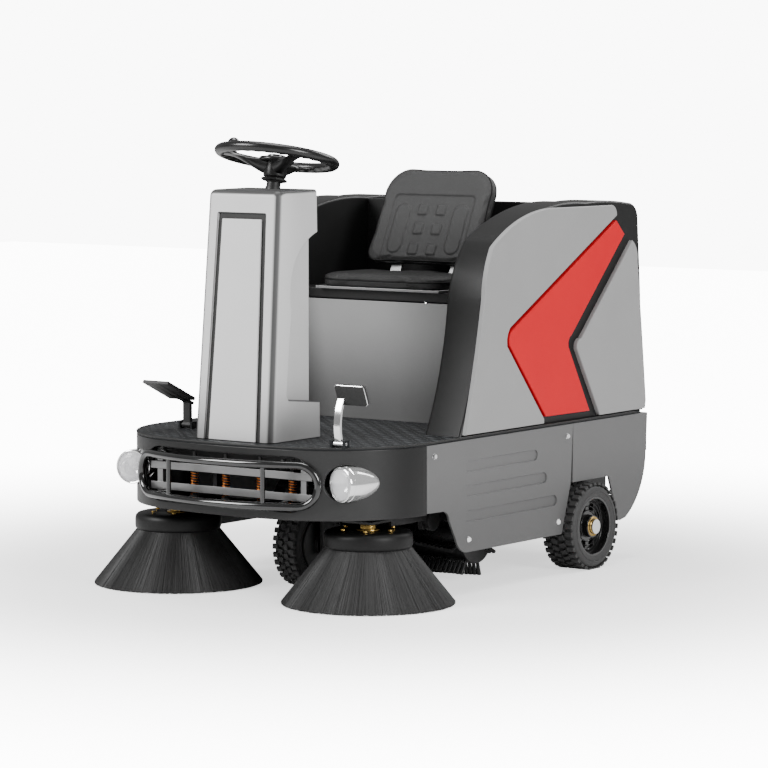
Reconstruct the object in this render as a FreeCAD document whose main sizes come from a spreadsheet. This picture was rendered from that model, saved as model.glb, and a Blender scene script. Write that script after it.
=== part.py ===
import FreeCAD, Part
import math
import os
import re
from FreeCAD import Rotation, Vector

# A ride-on floor sweeper. Millimetres. The machine faces -Y, its right side is
# +X and +Z is up. The origin is on the floor, under the middle of its box.

SIZES = {
    # plan of the chassis
    "half_width": 485, "front_reach": 757, "front_radius": 1200, "corner_radius": 322,
    "rear_reach": 774, "skin": 8, "deck_top": 457, "deck_thick": 6, "tread_high": 1.5,
    "band_bottom": 251, "band_height": 200, "band_rear": -418,
    # slot in the front band and the grille behind it
    "slot_half": 311, "slot_low": 275, "slot_high": 430,
    # side cover, skirts and fasteners
    "bolt_radius": 8, "bolt_head": 5,
    # fenders and side panels
    "fender_inner": 345, "fender_depth": 126, "fender_wall": 6, "panel_thick": 14,
    # frame
    "rail_inner": 410, "rail_wide": 40, "rail_low": 391, "rail_tall": 60,
    "rail_front": -500, "rail_length": 1200, "plate": 10, "pin_radius": 8,
    "pin_bore": 8.05,
    # tower
    "tower_base_half": 141, "tower_top_half": 130, "tower_base_front": -697,
    "tower_top_front": -640, "tower_rear": -460, "tower_top": 1170, "tower_wall": 12,
    "knee_x": 99,
    # steering
    "wheel_y": -480, "wheel_z": 1260, "wheel_tilt": 12.4, "rim_radius": 165,
    "rim_tube": 14, "shaft_radius": 22.5, "joint_drop": 368, "ball_radius": 24,
    "lower_y": -559, "lower_radius": 12, "lower_bore": 12.05, "lower_top": 866,
    "small_sprocket": 30, "large_sprocket": 75, "chain_low": 417, "chain_high": 423,
    "knob_radius": 18, "knob_stem": 5, "knob_bore": 5.05,
    # front wheel and fork
    "fork_y": -330, "kingpin": 20.95, "kingpin_bore": 21, "front_tyre_radius": 125,
    "front_tyre_half": 40, "front_rim_radius": 82, "front_axle": 12,
    "front_axle_bore": 12.05,
    # rear wheels
    "rear_y": 430, "rear_radius": 130, "rear_tyre_in": 405, "rear_tyre_wide": 110,
    "rear_rim_radius": 92, "rear_axle": 15, "rear_axle_bore": 15.05,
    # side brushes
    "brush_x": 347, "brush_y": -512, "brush_foot": 250, "brush_neck": 126,
    "bristle_top": 162, "bristle_deep": 24, "cap_top": 210, "hub_top": 230, "hub_radius": 24,
    "motor_radius": 45, "motor_low": 240, "motor_tall": 110, "arm_y": -270,
    "arm_z": 215,
    # main brush
    "main_y": 70, "main_z": 128, "main_radius": 128, "main_core": 85,
    "main_half": 325, "lift_y": 250, "lift_z": 250, "hood_inner": 165,
    "hood_outer": 169,
    # hopper
    "hopper_half": 335, "hopper_front": 290, "hopper_low": 112, "hopper_high": 390,
    "handle_reach": 806,
    # rear door
    "door_hinge_x": -335, "door_hinge_y": 775,
    # seat
    "seat_base_low": 819, "seat_base_high": 849, "seat_half": 338,
    "seat_plate_top": 857, "cushion_half": 224, "cushion_depth": 300,
    "cushion_top": 896, "back_lean": 25.3, "back_y": 223, "back_z": 925,
    "back_tall": 318, "back_thick": 45,
    # lights and guard
    "lamp_x": 378, "lamp_z": 357, "lamp_radius": 50, "lamp_gap": 1.5,
    "lamp_front": -690,
    "guard_tube": 11, "guard_reach": 795, "guard_bow": 639, "guard_half": 266,
    "guard_low": 291, "guard_high": 409,
}

doc = FreeCAD.newDocument("sweeper")
sheet = doc.addObject("Spreadsheet::Sheet", "Sizes")
for row, (alias, value) in enumerate(SIZES.items(), start=1):
    sheet.set(f"A{row}", alias)
    sheet.set(f"B{row}", str(value))
    sheet.setAlias(f"B{row}", alias)
doc.recompute()

parts = {}
LEFT, RIGHT = -1, 1
SIDES = {"left": LEFT, "right": RIGHT}


# ---------------------------------------------------------------- helpers
def size(alias):
    """A driving dimension's value, read from the sheet."""
    return float(sheet.get(alias))


def bind(item, **links):
    """Bind properties to sheet expressions; a double underscore is a dot."""
    for prop, expression in links.items():
        text = re.sub(r"[a-z_]+", lambda word: sheet_word(word.group()), str(expression))
        item.setExpression(prop.replace("__", "."), text)


def sheet_word(word):
    """A sheet alias with its sheet's name, any other word as it is."""
    return f"Sizes.{word}" if word in SIZES else word


def place(item, x=0, y=0, z=0, turn=None):
    """Turn an item, then bind its place to sheet expressions."""
    if turn is not None:
        item.Placement = FreeCAD.Placement(Vector(), turn)
    bind(item, Placement__Base__x=x, Placement__Base__y=y, Placement__Base__z=z)
    return item


def new(kind, label):
    """A document object with its label."""
    item = doc.addObject(kind, label)
    item.Label = label
    return item


def keep(item):
    """Mark an object as a finished sub-part; its label names its file."""
    parts[item.Label] = item
    return item


def box(label, low, long):
    """A block from its low corner and its three lengths, as expressions."""
    item = new("Part::Box", label)
    bind(item, Length=long[0], Width=long[1], Height=long[2])
    return place(item, *low)


TURNS = {
    "x": Rotation(Vector(0, 1, 0), 90), "y": Rotation(Vector(1, 0, 0), -90),
    "z": Rotation(),
}


def rod(label, radius, length, start, along="z"):
    """A cylinder from its start point, along one axis."""
    item = new("Part::Cylinder", label)
    bind(item, Radius=radius, Height=length)
    return place(item, *start, turn=TURNS[along])


def cone(label, low_radius, high_radius, height, start, along="z"):
    """A cone frustum from its start point, along one axis."""
    item = new("Part::Cone", label)
    bind(item, Radius1=low_radius, Radius2=high_radius, Height=height)
    return place(item, *start, turn=TURNS[along])


def fuse(label, *items):
    """One solid from several that touch or overlap."""
    item = new("Part::MultiFuse", label)
    item.Shapes = list(items)
    return item


def cut(label, base, *tools):
    """The base with every tool taken away."""
    item = new("Part::Cut", label)
    item.Base = base
    item.Tool = tools[0] if len(tools) == 1 else fuse(label + "_tools", *tools)
    return item


def group(label, *items):
    """Several separate solids in one sub-part."""
    item = new("Part::Compound", label)
    item.Links = list(items)
    return item


def edges_of(outline):
    """Edges from a start point and steps: (x, y) a line, ((x, y), (x, y)) an arc."""
    edges = []
    here = Vector(*outline[0], 0)
    for step in list(outline[1:]) + [outline[0]]:
        if isinstance(step[0], tuple):
            there = Vector(*step[1], 0)
            edges.append(Part.Arc(here, Vector(*step[0], 0), there))
        else:
            there = Vector(*step, 0)
            if (there - here).Length > 1e-6:
                edges.append(Part.LineSegment(here, there))
        here = there
    return edges


def draw(body, role, outline):
    """A sketch of a closed outline on one of the body's origin planes."""
    sketch = body.newObject("Sketcher::SketchObject", body.Label + "_sketch")
    plane = next(f for f in body.Origin.OriginFeatures if f.Role == role)
    sketch.AttachmentSupport = [(plane, "")]
    sketch.MapMode = "FlatFace"
    for edge in edges_of(outline):
        sketch.addGeometry(edge, False)
    return sketch


NORMAL = {"YZ_Plane": "x", "XZ_Plane": "y", "XY_Plane": "z"}


def prism(label, role, outline, start, length):
    """An outline padded along the positive normal axis of its plane."""
    body = new("PartDesign::Body", label)
    sketch = draw(body, role, outline)
    pad = body.newObject("PartDesign::Pad", label + "_pad")
    pad.Profile = sketch
    pad.Reversed = role == "XZ_Plane"
    bind(pad, Length=length)
    return place(body, **{NORMAL[role]: start})


def side_start(side, inner, depth):
    """Start expression of a piece that spans from inner out by depth on one side."""
    return f"{inner}" if side == RIGHT else f"-({inner}) - ({depth})"


# ---------------------------------------------------------------- plan outline
def plan_arcs(inset):
    """Tangent arcs of the rounded nose: side end, corner middle, join, front middle."""
    half = size("half_width")
    big = size("front_radius")
    small = size("corner_radius")
    front_centre = big - size("front_reach")
    across = half - small
    drop = math.sqrt((big - small) ** 2 - across ** 2)
    corner_centre = front_centre - drop
    angle = math.atan2(-drop, across)
    join = (big - inset) * math.cos(angle), front_centre + (big - inset) * math.sin(angle)
    middle = angle / 2
    corner = (
        across + (small - inset) * math.cos(middle),
        corner_centre + (small - inset) * math.sin(middle),
    )
    return (half - inset, corner_centre), corner, join, (0, inset - size("front_reach"))


def flip(point):
    """A plan point on the other side."""
    return (-point[0], point[1])


def plan_outline(inset, rear):
    """The rounded nose closed by a straight line across at the rear."""
    side, corner, join, front = plan_arcs(inset)
    return [
        (side[0], rear), side, (corner, join), (front, flip(join)),
        (flip(corner), flip(side)), (-side[0], rear),
    ]


# ---------------------------------------------------------------- chassis
def make_frame():
    """Welded frame: two rails, cross plates and drop brackets with their pins."""
    pieces = []
    bores = [
        rod("kingpin_hole", "kingpin_bore", 40, (0, "fork_y", 380)),
        rod("lower_shaft_hole", "lower_bore", 40, (0, "lower_y", 380)),
    ]
    for name, side in SIDES.items():
        start = side_start(side, "rail_inner", "rail_wide")
        pieces.append(box(f"{name}_rail", (start, "rail_front", "rail_low"),
                          ("rail_wide", "rail_length", "rail_tall")))
        drops = {
            "arm": (370, 15, -300, 60, 190), "lift": (368, 12, 225, 50, 230),
            "axle": (380, 15, 380, 100, 90),
        }
        for use, (inner, thick, front, long, low) in drops.items():
            start = side_start(side, inner, thick)
            pieces.append(box(f"{name}_{use}_drop", (start, front, low),
                              (thick, long, f"rail_low - {low}")))
            reach = f"rail_inner + rail_wide - {inner}"
            start = side_start(side, inner, reach)
            pieces.append(box(f"{name}_{use}_shelf", (start, front, "rail_low - plate"),
                              (reach, long, "plate")))
        pieces.append(rod(f"{name}_arm_pin", "pin_radius", 14.5,
                          (side_start(side, 383, 14.5), "arm_y", "arm_z"), "x"))
        pieces.append(rod(f"{name}_lift_pin", "pin_radius", 20,
                          (side_start(side, 350, 20), "lift_y", "lift_z"), "x"))
    for use, front, long in (("shaft", -590, 60), ("head", -390, 120), ("rear", 620, 60)):
        pieces.append(box(f"{use}_cross", ("-rail_inner", front, "rail_low"),
                          ("2 * rail_inner", long, 20)))
    pieces.append(box("shaft_tie", (-415, -590, "rail_low"), (830, 110, 20)))
    body = fuse("frame_body", *pieces)
    keep(cut("chassis_frame", body, *bores))


def make_band():
    """The black nose band with its rounded slot, and the slats behind it."""
    outer = prism("band_outer", "XY_Plane", plan_outline(0, size("band_rear")),
                  "band_bottom", "band_height")
    inner = prism("band_inner", "XY_Plane", plan_outline(size("skin"), size("band_rear") + 9),
                  "band_bottom - 1", "band_height + 2")
    low, high = size("slot_low"), size("slot_high")
    half = size("slot_half") - (high - low) / 2
    middle = (low + high) / 2
    slot = [(-half, low), (half, low), ((size("slot_half"), middle), (half, high)),
            (-half, high), ((-size("slot_half"), middle), (-half, low))]
    window = prism("band_slot", "XZ_Plane", slot, -800, 200)
    seats = [rod(f"{name}_lamp_seat", "lamp_radius + lamp_gap", 184,
                 (f"{side} * lamp_x", -760, "lamp_z"), "y") for name, side in SIDES.items()]
    keep(cut("front_band", outer, inner, window, *seats))
    slats = []
    for name, low_edge in (("upper", 362), ("lower", 302)):
        slats.append(box(f"{name}_slat", (-292, -704, low_edge), (584, 4, 22)))
    for name, side in SIDES.items():
        slats.append(box(f"{name}_slat_post", (side_start(side, 250, 20), -701, 290),
                         (20, 12, "deck_top - deck_thick - 290")))
    keep(fuse("grille_slats", *slats))


def make_deck():
    """Tread plate over the whole chassis, with the pedal ears standing on it."""
    half, rear = size("half_width"), size("rear_reach")
    side, corner, join, front = plan_arcs(0)
    bend = 60
    spot = bend * (1 - math.sqrt(0.5))
    outline = [
        (half, rear - bend), side, (corner, join), (front, flip(join)),
        (flip(corner), flip(side)), (-half, rear - bend),
        ((-half + spot, rear - spot), (-half + bend, rear)), (half - bend, rear),
        ((half - spot, rear - spot), (half, rear - bend)),
    ]
    sheet_metal = prism("deck_sheet", "XY_Plane", outline, "deck_top - deck_thick", "deck_thick")
    ears, holes = [], [rod("deck_hole", 20, 20, (0, "lower_y", "deck_top - 10"))]
    for name, middle, axis_y in (("gas", 352, -655), ("brake", -320, -500)):
        for end in (-1, 1):
            ears.append(box(f"{name}_ear_{'low' if end < 0 else 'high'}",
                            (middle + 22 * end - 4, axis_y - 12, "deck_top - 2"), (8, 24, 24)))
        holes.append(rod(f"{name}_ear_hole", 5.05, 80, (middle - 40, axis_y, 468), "x"))
    tread = box("deck_tread", (-330, -440, "deck_top"), (660, 455, "tread_high"))
    keep(cut("deck_plate", fuse("deck_body", sheet_metal, tread, *ears), *holes))


def make_side_covers():
    """Flat side covers with three louvre slots, their bolts, and the rear skirt."""
    outline = [
        (-418, 449), (-417, 255), (-343, 253), ((-318, 246), (-306, 224)), (-272, 164),
        ((-247, 132), (-211, 122)), (275, 120), ((287, 122), (291, 132)), (336, 269),
        (347, 449),
    ]
    bolt_places = ((-383, 416), (313, 414), (-211, 160), (265, 160))
    slots = ((372, 154), (300, 204), (226, 259))
    depth, start_y, radius = 3, -227, 16
    bolts = []
    for name, side in SIDES.items():
        start = side_start(side, "half_width - skin", "skin")
        plate = prism(f"{name}_cover_plate", "YZ_Plane", outline, start, "skin")
        louvres = []
        for number, (middle, end_y) in enumerate(slots):
            shape = [(start_y + radius, middle - radius), (end_y - radius, middle - radius),
                     ((end_y, middle), (end_y - radius, middle + radius)),
                     (start_y + radius, middle + radius),
                     ((start_y, middle), (start_y + radius, middle - radius))]
            louvres.append(prism(f"{name}_louvre_{number}", "YZ_Plane", shape,
                                 side_start(side, f"half_width - {depth}", 20), 20))
        keep(cut(f"{name}_side_cover", plate, *louvres))
        for number, (at_y, at_z) in enumerate(bolt_places):
            start = side_start(side, "half_width", "bolt_head")
            bolts.append(rod(f"{name}_bolt_{number}", "bolt_radius", "bolt_head",
                             (start, at_y, at_z), "x"))
    keep(group("cover_bolts", *bolts))


def make_rear_skirt():
    """Rear skirt: two side plates with wheel arches, joined across the back."""
    outline = [
        (348, 449), (348, 270), (551, 270), (599, 148), ((606, 131), (624, 128)),
        (650, 133), ((728, 205), (767, 330)), (774, 449),
    ]
    pieces = []
    for name, side in SIDES.items():
        start = side_start(side, "half_width - skin", "skin")
        pieces.append(prism(f"{name}_skirt_plate", "YZ_Plane", outline, start, "skin"))
        start = side_start(side, "hopper_half + 3", "half_width - hopper_half - 5")
        pieces.append(box(f"{name}_skirt_back", (start, 766, 330),
                          ("half_width - hopper_half - 5", 8, 119)))
    pieces.append(box("skirt_lintel", (-400, 766, 443), (800, 8, 6)))
    keep(fuse("rear_skirt", *pieces))


# ---------------------------------------------------------------- body shell
FENDER = [
    (-233, 457), ((-162, 640), (-122, 841)), ((-88, 940), (-31, 1018)),
    ((157, 1090), (434, 1112)), ((600, 1111), (690, 1102)), ((722, 1088), (738, 1050)),
    ((757, 800), (774, 457)),
]
FENDER_HOLLOW = [
    (-222, 450), ((-154, 640), (-115, 841)), ((-81, 935), (-27, 1010)),
    ((157, 1082), (434, 1104)), ((600, 1103), (686, 1095)), ((716, 1082), (730, 1050)),
    ((749, 800), (766, 450)),
]
FRONT_PANEL = [
    (-223, 462), ((-162, 680), (-127, 847)), ((-112, 935), (-84, 998)),
    ((80, 1078), (268, 1101)), (559, 1099), ((583, 1090), (590, 1066)), (8, 759),
    ((-6, 738), (-8, 705)), (190, 476), (190, 462),
]
STRIPE = [
    (588, 1052), (18, 752), ((4, 735), (3, 708)), (199, 482), (441, 480), (324, 678),
    ((322, 700), (338, 716)), (635, 1008),
]
REAR_PANEL = [
    (682, 987), ((702, 968), (712, 924)), ((742, 700), (767, 487)), (762, 462), (500, 462),
    (371, 669), ((370, 688), (393, 704)),
]


def make_body_sides():
    """Moulded fenders and the three panels that clip on each one's outer face."""
    for name, side in SIDES.items():
        start = side_start(side, "fender_inner", "fender_depth")
        outer = prism(f"{name}_fender_outer", "YZ_Plane", FENDER, start, "fender_depth")
        start = side_start(side, "fender_inner + fender_wall", "fender_depth - 2 * fender_wall")
        hollow = prism(f"{name}_fender_hollow", "YZ_Plane", FENDER_HOLLOW, start,
                       "fender_depth - 2 * fender_wall")
        keep(cut(f"{name}_fender", outer, hollow))
        start = side_start(side, "fender_inner + fender_depth", "panel_thick")
        for use, outline in (("front_panel", FRONT_PANEL), ("stripe", STRIPE),
                             ("rear_panel", REAR_PANEL)):
            keep(prism(f"{name}_{use}", "YZ_Plane", outline, start, "panel_thick"))


def make_rear_cover():
    """Top cover with the wall behind the seat, and the hinged rear door."""
    cover = [
        (434, 857), (434, 1106), (690, 1096), ((716, 1083), (731, 1050)), (738, 990),
        (732, 990), (725, 1050), ((711, 1077), (688, 1089)), (440, 1099), (440, 857),
    ]
    keep(prism("rear_top_cover", "YZ_Plane", cover, "-fender_inner", "2 * fender_inner"))
    door = [
        (743, 985), ((756, 780), (773, 470)), (765, 470), ((748, 780), (735, 985)),
    ]
    leaf = prism("door_leaf", "YZ_Plane", door, "-fender_inner + 5", "2 * fender_inner - 10")
    hinges = []
    for name, low, near in (("low", 520, 760), ("high", 850, 744)):
        hinges.append(box(f"{name}_hinge_strap", ("door_hinge_x - 5", near, low),
                          (10, f"door_hinge_y - {near}", 80)))
        hinges.append(rod(f"{name}_hinge_barrel", 5, 80, ("door_hinge_x", "door_hinge_y", low)))
    keep(fuse("rear_door", leaf, *hinges))
    keep(box("seat_box_panel", ("-fender_inner", 30, "deck_top"),
             ("2 * fender_inner", 4, "816 - deck_top")))


def make_tower():
    """Hollow tapered steering tower with knee hollows and an inset front panel."""
    def ring(inset, base):
        half = size("tower_base_half" if base else "tower_top_half") - inset
        front = size("tower_base_front" if base else "tower_top_front") + inset
        rear = size("tower_rear") - inset
        bend = 24
        spot = bend * (1 - math.sqrt(0.5))
        return [
            (-half, rear), (-half, front + bend),
            ((-half + spot, front + spot), (-half + bend, front)), (half - bend, front),
            ((half - spot, front + spot), (half, front + bend)), (half, rear),
        ]

    def tapered(label, inset, low, high):
        body = new("PartDesign::Body", label)
        sketches = []
        for base, level in ((True, low), (False, high)):
            sketch = draw(body, "XY_Plane", ring(inset, base))
            bind(sketch, AttachmentOffset__Base__z=level)
            sketches.append(sketch)
        loft = body.newObject("PartDesign::AdditiveLoft", label + "_loft")
        loft.Profile = sketches[0]
        loft.Sections = [sketches[1]]
        loft.Ruled = True
        return body

    def knee(grow):
        return [
            (-440, 1052 + grow), ((-535 - grow, 1005 + grow), (-588 - grow, 830)),
            (-618 - grow, 590), (-610 - grow, 574 - grow), (-440, 557 - grow),
        ]

    outer = tapered("tower_outer", 0, "deck_top", "tower_top")
    inner = tapered("tower_inner", size("tower_wall"), "deck_top - 1", "tower_top - tower_wall")
    dents, swells = [], []
    for name, side in SIDES.items():
        start = side_start(side, "knee_x", 60)
        dents.append(prism(f"{name}_knee", "YZ_Plane", knee(0), start, 60))
        start = side_start(side, "knee_x - tower_wall", 80)
        swells.append(prism(f"{name}_knee_wall", "YZ_Plane", knee(12), start, 80))
    hollow = cut("tower_hollow", inner, *swells)
    rise = size("tower_top") - size("deck_top")
    slope = math.degrees(math.atan2(size("tower_top_front") - size("tower_base_front"), rise))
    lean = Rotation(Vector(1, 0, 0), -slope)

    def front_slab(label, half_low, half_high, tall, depth, back, lift=0):
        slab = prism(label, "XZ_Plane", [
            (-half_low, 0), (half_low, 0), (half_high, tall), (-half_high, tall)], back, depth)
        slab.Placement = FreeCAD.Placement(Vector(), lean)
        offset = lean.multVec(Vector(0, back, 0))
        return place(slab, offset.x, f"tower_base_front + {offset.y}",
                     f"deck_top + {offset.z + lift}", lean)

    groove = front_slab("front_groove", 100, 86, 650, 12, -4)
    bore = rod("column_hole", 32, 80, (0, -507, "tower_top - 50"))
    keep(cut("tower_shell", outer, hollow, *dents, groove, bore))
    keep(front_slab("tower_front_panel", 84, 70, 632, 8, -0.5, lift=1.2))


# ---------------------------------------------------------------- steering
def make_steering():
    """Wheel, tilted column, vertical lower shaft, sprockets and chain."""
    lean = Rotation(Vector(1, 0, 0), -size("wheel_tilt"))
    ring = new("Part::Torus", "rim_ring")
    bind(ring, Radius1="rim_radius", Radius2="rim_tube")
    hub = rod("wheel_hub", 40, 34, (0, 0, -22))
    pieces = [ring, hub]
    for number, angle in enumerate((90, 210, 330)):
        spoke = new("Part::Box", f"wheel_spoke_{number}")
        bind(spoke, Length="rim_radius - 6", Width=34, Height=9)
        turn = Rotation(Vector(0, 0, 1), angle)
        spoke.Placement = FreeCAD.Placement(turn.multVec(Vector(0, -17, -8)), turn)
        pieces.append(spoke)
    pieces.append(rod("knob_post", "knob_stem", 40, ("-rim_radius", 0, 4)))
    wheel = fuse("steering_wheel", *pieces)
    keep(place(wheel, 0, "wheel_y", "wheel_z", lean))
    ball = new("Part::Sphere", "knob_ball")
    bind(ball, Radius="knob_radius")
    place(ball, "-rim_radius", 0, 38)
    neck = rod("knob_neck", 9, 14, ("-rim_radius", 0, 16))
    bore = rod("knob_hole", "knob_bore", 35, ("-rim_radius", 0, 10))
    knob = cut("spinner_knob", fuse("knob_body", ball, neck), bore)
    keep(place(knob, 0, "wheel_y", "wheel_z", lean))
    shaft = rod("column_tube", "shaft_radius", "joint_drop - 23", (0, 0, "-joint_drop"))
    collar = rod("column_collar", 31, 22, (0, 0, -60))
    ball = new("Part::Sphere", "joint_ball")
    bind(ball, Radius="ball_radius")
    place(ball, 0, 0, "-joint_drop")
    column = fuse("steering_shaft", shaft, collar, ball)
    keep(place(column, 0, "wheel_y", "wheel_z", lean))
    rise = "lower_top - chain_low + 1"
    lower = rod("lower_rod", "lower_radius", rise, (0, "lower_y", "chain_low - 1"))
    foot = rod("lower_foot", "lower_radius", 30, (0, "lower_y", 388))
    disc = rod("lower_disc", "small_sprocket", 8, (0, "lower_y", "chain_low - 1"))
    keep(fuse("lower_shaft", lower, foot, disc))


def belt_outline(low_y, low_radius, high_y, high_radius):
    """Outline of a belt round two pulleys on the Y axis, in plan."""
    gap = high_y - low_y
    lean = math.asin((high_radius - low_radius) / gap)
    low = (low_radius * math.cos(lean), low_y - low_radius * math.sin(lean))
    high = (high_radius * math.cos(lean), high_y - high_radius * math.sin(lean))
    return [low, high, ((0, high_y + high_radius), flip(high)), flip(low),
            ((0, low_y - low_radius), low)]


def make_chain():
    """The steering chain as one closed loop round both sprockets."""
    ends = size("lower_y"), size("fork_y")
    small, large = size("small_sprocket"), size("large_sprocket")
    outer = prism("chain_outer", "XY_Plane", belt_outline(ends[0], small + 9, ends[1], large + 9),
                  "chain_low", "chain_high - chain_low")
    inner = prism("chain_inner", "XY_Plane", belt_outline(ends[0], small + 1, ends[1], large + 1),
                  "chain_low - 1", "chain_high - chain_low + 2")
    keep(cut("steering_chain", outer, inner))


def make_fork():
    """Steered front fork with its kingpin, sprocket and axle, and the driven wheel."""
    radius = size("front_tyre_radius")
    pieces = [
        rod("fork_kingpin", "kingpin", 132, (0, "fork_y", 290)),
        rod("fork_disc", "large_sprocket", 8, (0, "fork_y", "chain_low - 1")),
        box("fork_crown", (-80, "fork_y - 42", 284), (160, 84, 14)),
        rod("fork_axle", "front_axle", 150, (-75, "fork_y", radius), "x"),
    ]
    for name, side in SIDES.items():
        pieces.append(box(f"{name}_fork_leg", (side_start(side, 58, 12), "fork_y - 26", 95),
                          (12, 52, 195)))
    keep(fuse("front_fork", *pieces))
    outer = rod("front_tyre_outer", "front_tyre_radius", "2 * front_tyre_half",
                ("-front_tyre_half", "fork_y", "front_tyre_radius"), "x")
    hole = rod("front_tyre_hole", "front_rim_radius", "2 * front_tyre_half + 2",
               ("-front_tyre_half - 1", "fork_y", "front_tyre_radius"), "x")
    keep(cut("front_tyre", rounded("front_tyre_round", outer, 12), hole))
    drum = rod("motor_drum", "front_rim_radius", "2 * front_tyre_half + 6",
               ("-front_tyre_half - 3", "fork_y", "front_tyre_radius"), "x")
    boss = rod("motor_boss", 30, "2 * front_tyre_half + 26",
               ("-front_tyre_half - 13", "fork_y", "front_tyre_radius"), "x")
    bore = rod("motor_bore", "front_axle_bore", 140, (-70, "fork_y", "front_tyre_radius"), "x")
    keep(cut("hub_motor", fuse("motor_body", drum, boss), bore))


def rounded(label, base, radius):
    """A cylinder with both end edges rounded over."""
    doc.recompute()
    item = new("Part::Fillet", label)
    item.Base = base
    item.Edges = [
        (number, radius, radius) for number, edge in enumerate(base.Shape.Edges, start=1)
        if isinstance(edge.Curve, Part.Circle)
    ]
    return item


# ---------------------------------------------------------------- rear wheels
def make_rear_wheels():
    """Tyres, dished rims with eight lightening holes, and their stub axles."""
    stubs = []
    for name, side in SIDES.items():
        def along(label, radius, inner, length):
            return rod(f"{name}_{label}", radius, length,
                       (side_start(side, inner, length), "rear_y", "rear_radius"), "x")
        outer = rounded(f"{name}_tyre_round",
                        along("tyre_outer", "rear_radius", "rear_tyre_in", "rear_tyre_wide"), 14)
        hole = along("tyre_hole", "rear_rim_radius", "rear_tyre_in - 1", "rear_tyre_wide + 2")
        keep(cut(f"{name}_rear_tyre", outer, hole))
        barrel = along("barrel", "rear_rim_radius", "rear_tyre_in + 4", "rear_tyre_wide - 8")
        outside = along("dish_out", "rear_rim_radius - 8", 484, 60)
        inside = along("dish_in", "rear_rim_radius - 8", 380, 90)
        hub = along("hub", 34, 430, 76)
        bore = along("hub_bore", "rear_axle_bore", 380, 140)
        holes = []
        for number in range(8):
            angle = math.radians(45 * number + 22.5)
            spot = Vector(0, 59 * math.cos(angle), 59 * math.sin(angle))
            holes.append(rod(f"{name}_rim_hole_{number}", 14, 40,
                             (side_start(side, 460, 40), f"rear_y + {spot.y}",
                              f"rear_radius + {spot.z}"), "x"))
        dish = cut(f"{name}_dish", barrel, outside, inside)
        keep(cut(f"{name}_rear_rim", fuse(f"{name}_rim_body", dish, hub), bore, *holes))
        pin = along("stub", "rear_axle", 395, 113)
        nut = along("nut", 22, 507, 10)
        stubs.append(fuse(f"{name}_stub_axle", pin, nut))
    keep(group("stub_axles", *stubs))


# ---------------------------------------------------------------- side brushes
def make_side_brushes():
    """On each side a lifting arm, its motor, the brush's cap and its bristles."""
    for name, side in SIDES.items():
        centre = f"{side} * brush_x"
        eye = rod(f"{name}_arm_eye", 30, 10, (side_start(side, 388, 10), "arm_y", "arm_z"), "x")
        blade = box(f"{name}_arm_blade", (side_start(side, 388, 10), -470, 218), (10, 200, 22))
        table = box(f"{name}_arm_table", (side_start(side, 295, 103), -566, 232), (103, 110, 8))
        bore = rod(f"{name}_arm_bore", "pin_bore", 20,
                   (side_start(side, 380, 20), "arm_y", "arm_z"), "x")
        cap = rod(f"{name}_arm_cap", 30, 8, (side_start(side, 398, 8), "arm_y", "arm_z"), "x")
        shaft_hole = rod(f"{name}_table_hole", 30, 20, (centre, "brush_y", 225))
        arm = cut(f"{name}_arm_drilled", fuse(f"{name}_arm_bar", eye, blade, table), bore,
                  shaft_hole)
        keep(fuse(f"{name}_brush_arm", arm, cap))
        can = rod(f"{name}_motor_can", "motor_radius", "motor_tall",
                  (centre, "brush_y", "motor_low"))
        spindle = rod(f"{name}_spindle", "pin_radius", 60, (centre, "brush_y", "motor_low - 55"))
        keep(fuse(f"{name}_brush_motor", can, spindle))
        disc = rod(f"{name}_cap_disc", "brush_neck", "cap_top - bristle_top",
                   (centre, "brush_y", "bristle_top"))
        hub = rod(f"{name}_cap_hub", "hub_radius", "hub_top - cap_top",
                  (centre, "brush_y", "cap_top"))
        bore = rod(f"{name}_cap_bore", "pin_bore", 90, (centre, "brush_y", "bristle_top - 10"))
        keep(cut(f"{name}_brush_cap", fuse(f"{name}_cap_body", disc, hub), bore))
        skirt = cone(f"{name}_bristle_cone", "brush_foot", "brush_neck", "bristle_top",
                     (centre, "brush_y", 0))
        hollow = cone(f"{name}_bristle_hollow", "brush_foot - bristle_deep",
                      "brush_neck - bristle_deep", "bristle_top", (centre, "brush_y", -1))
        keep(cut(f"{name}_brush_bristles", skirt, hollow))


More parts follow.
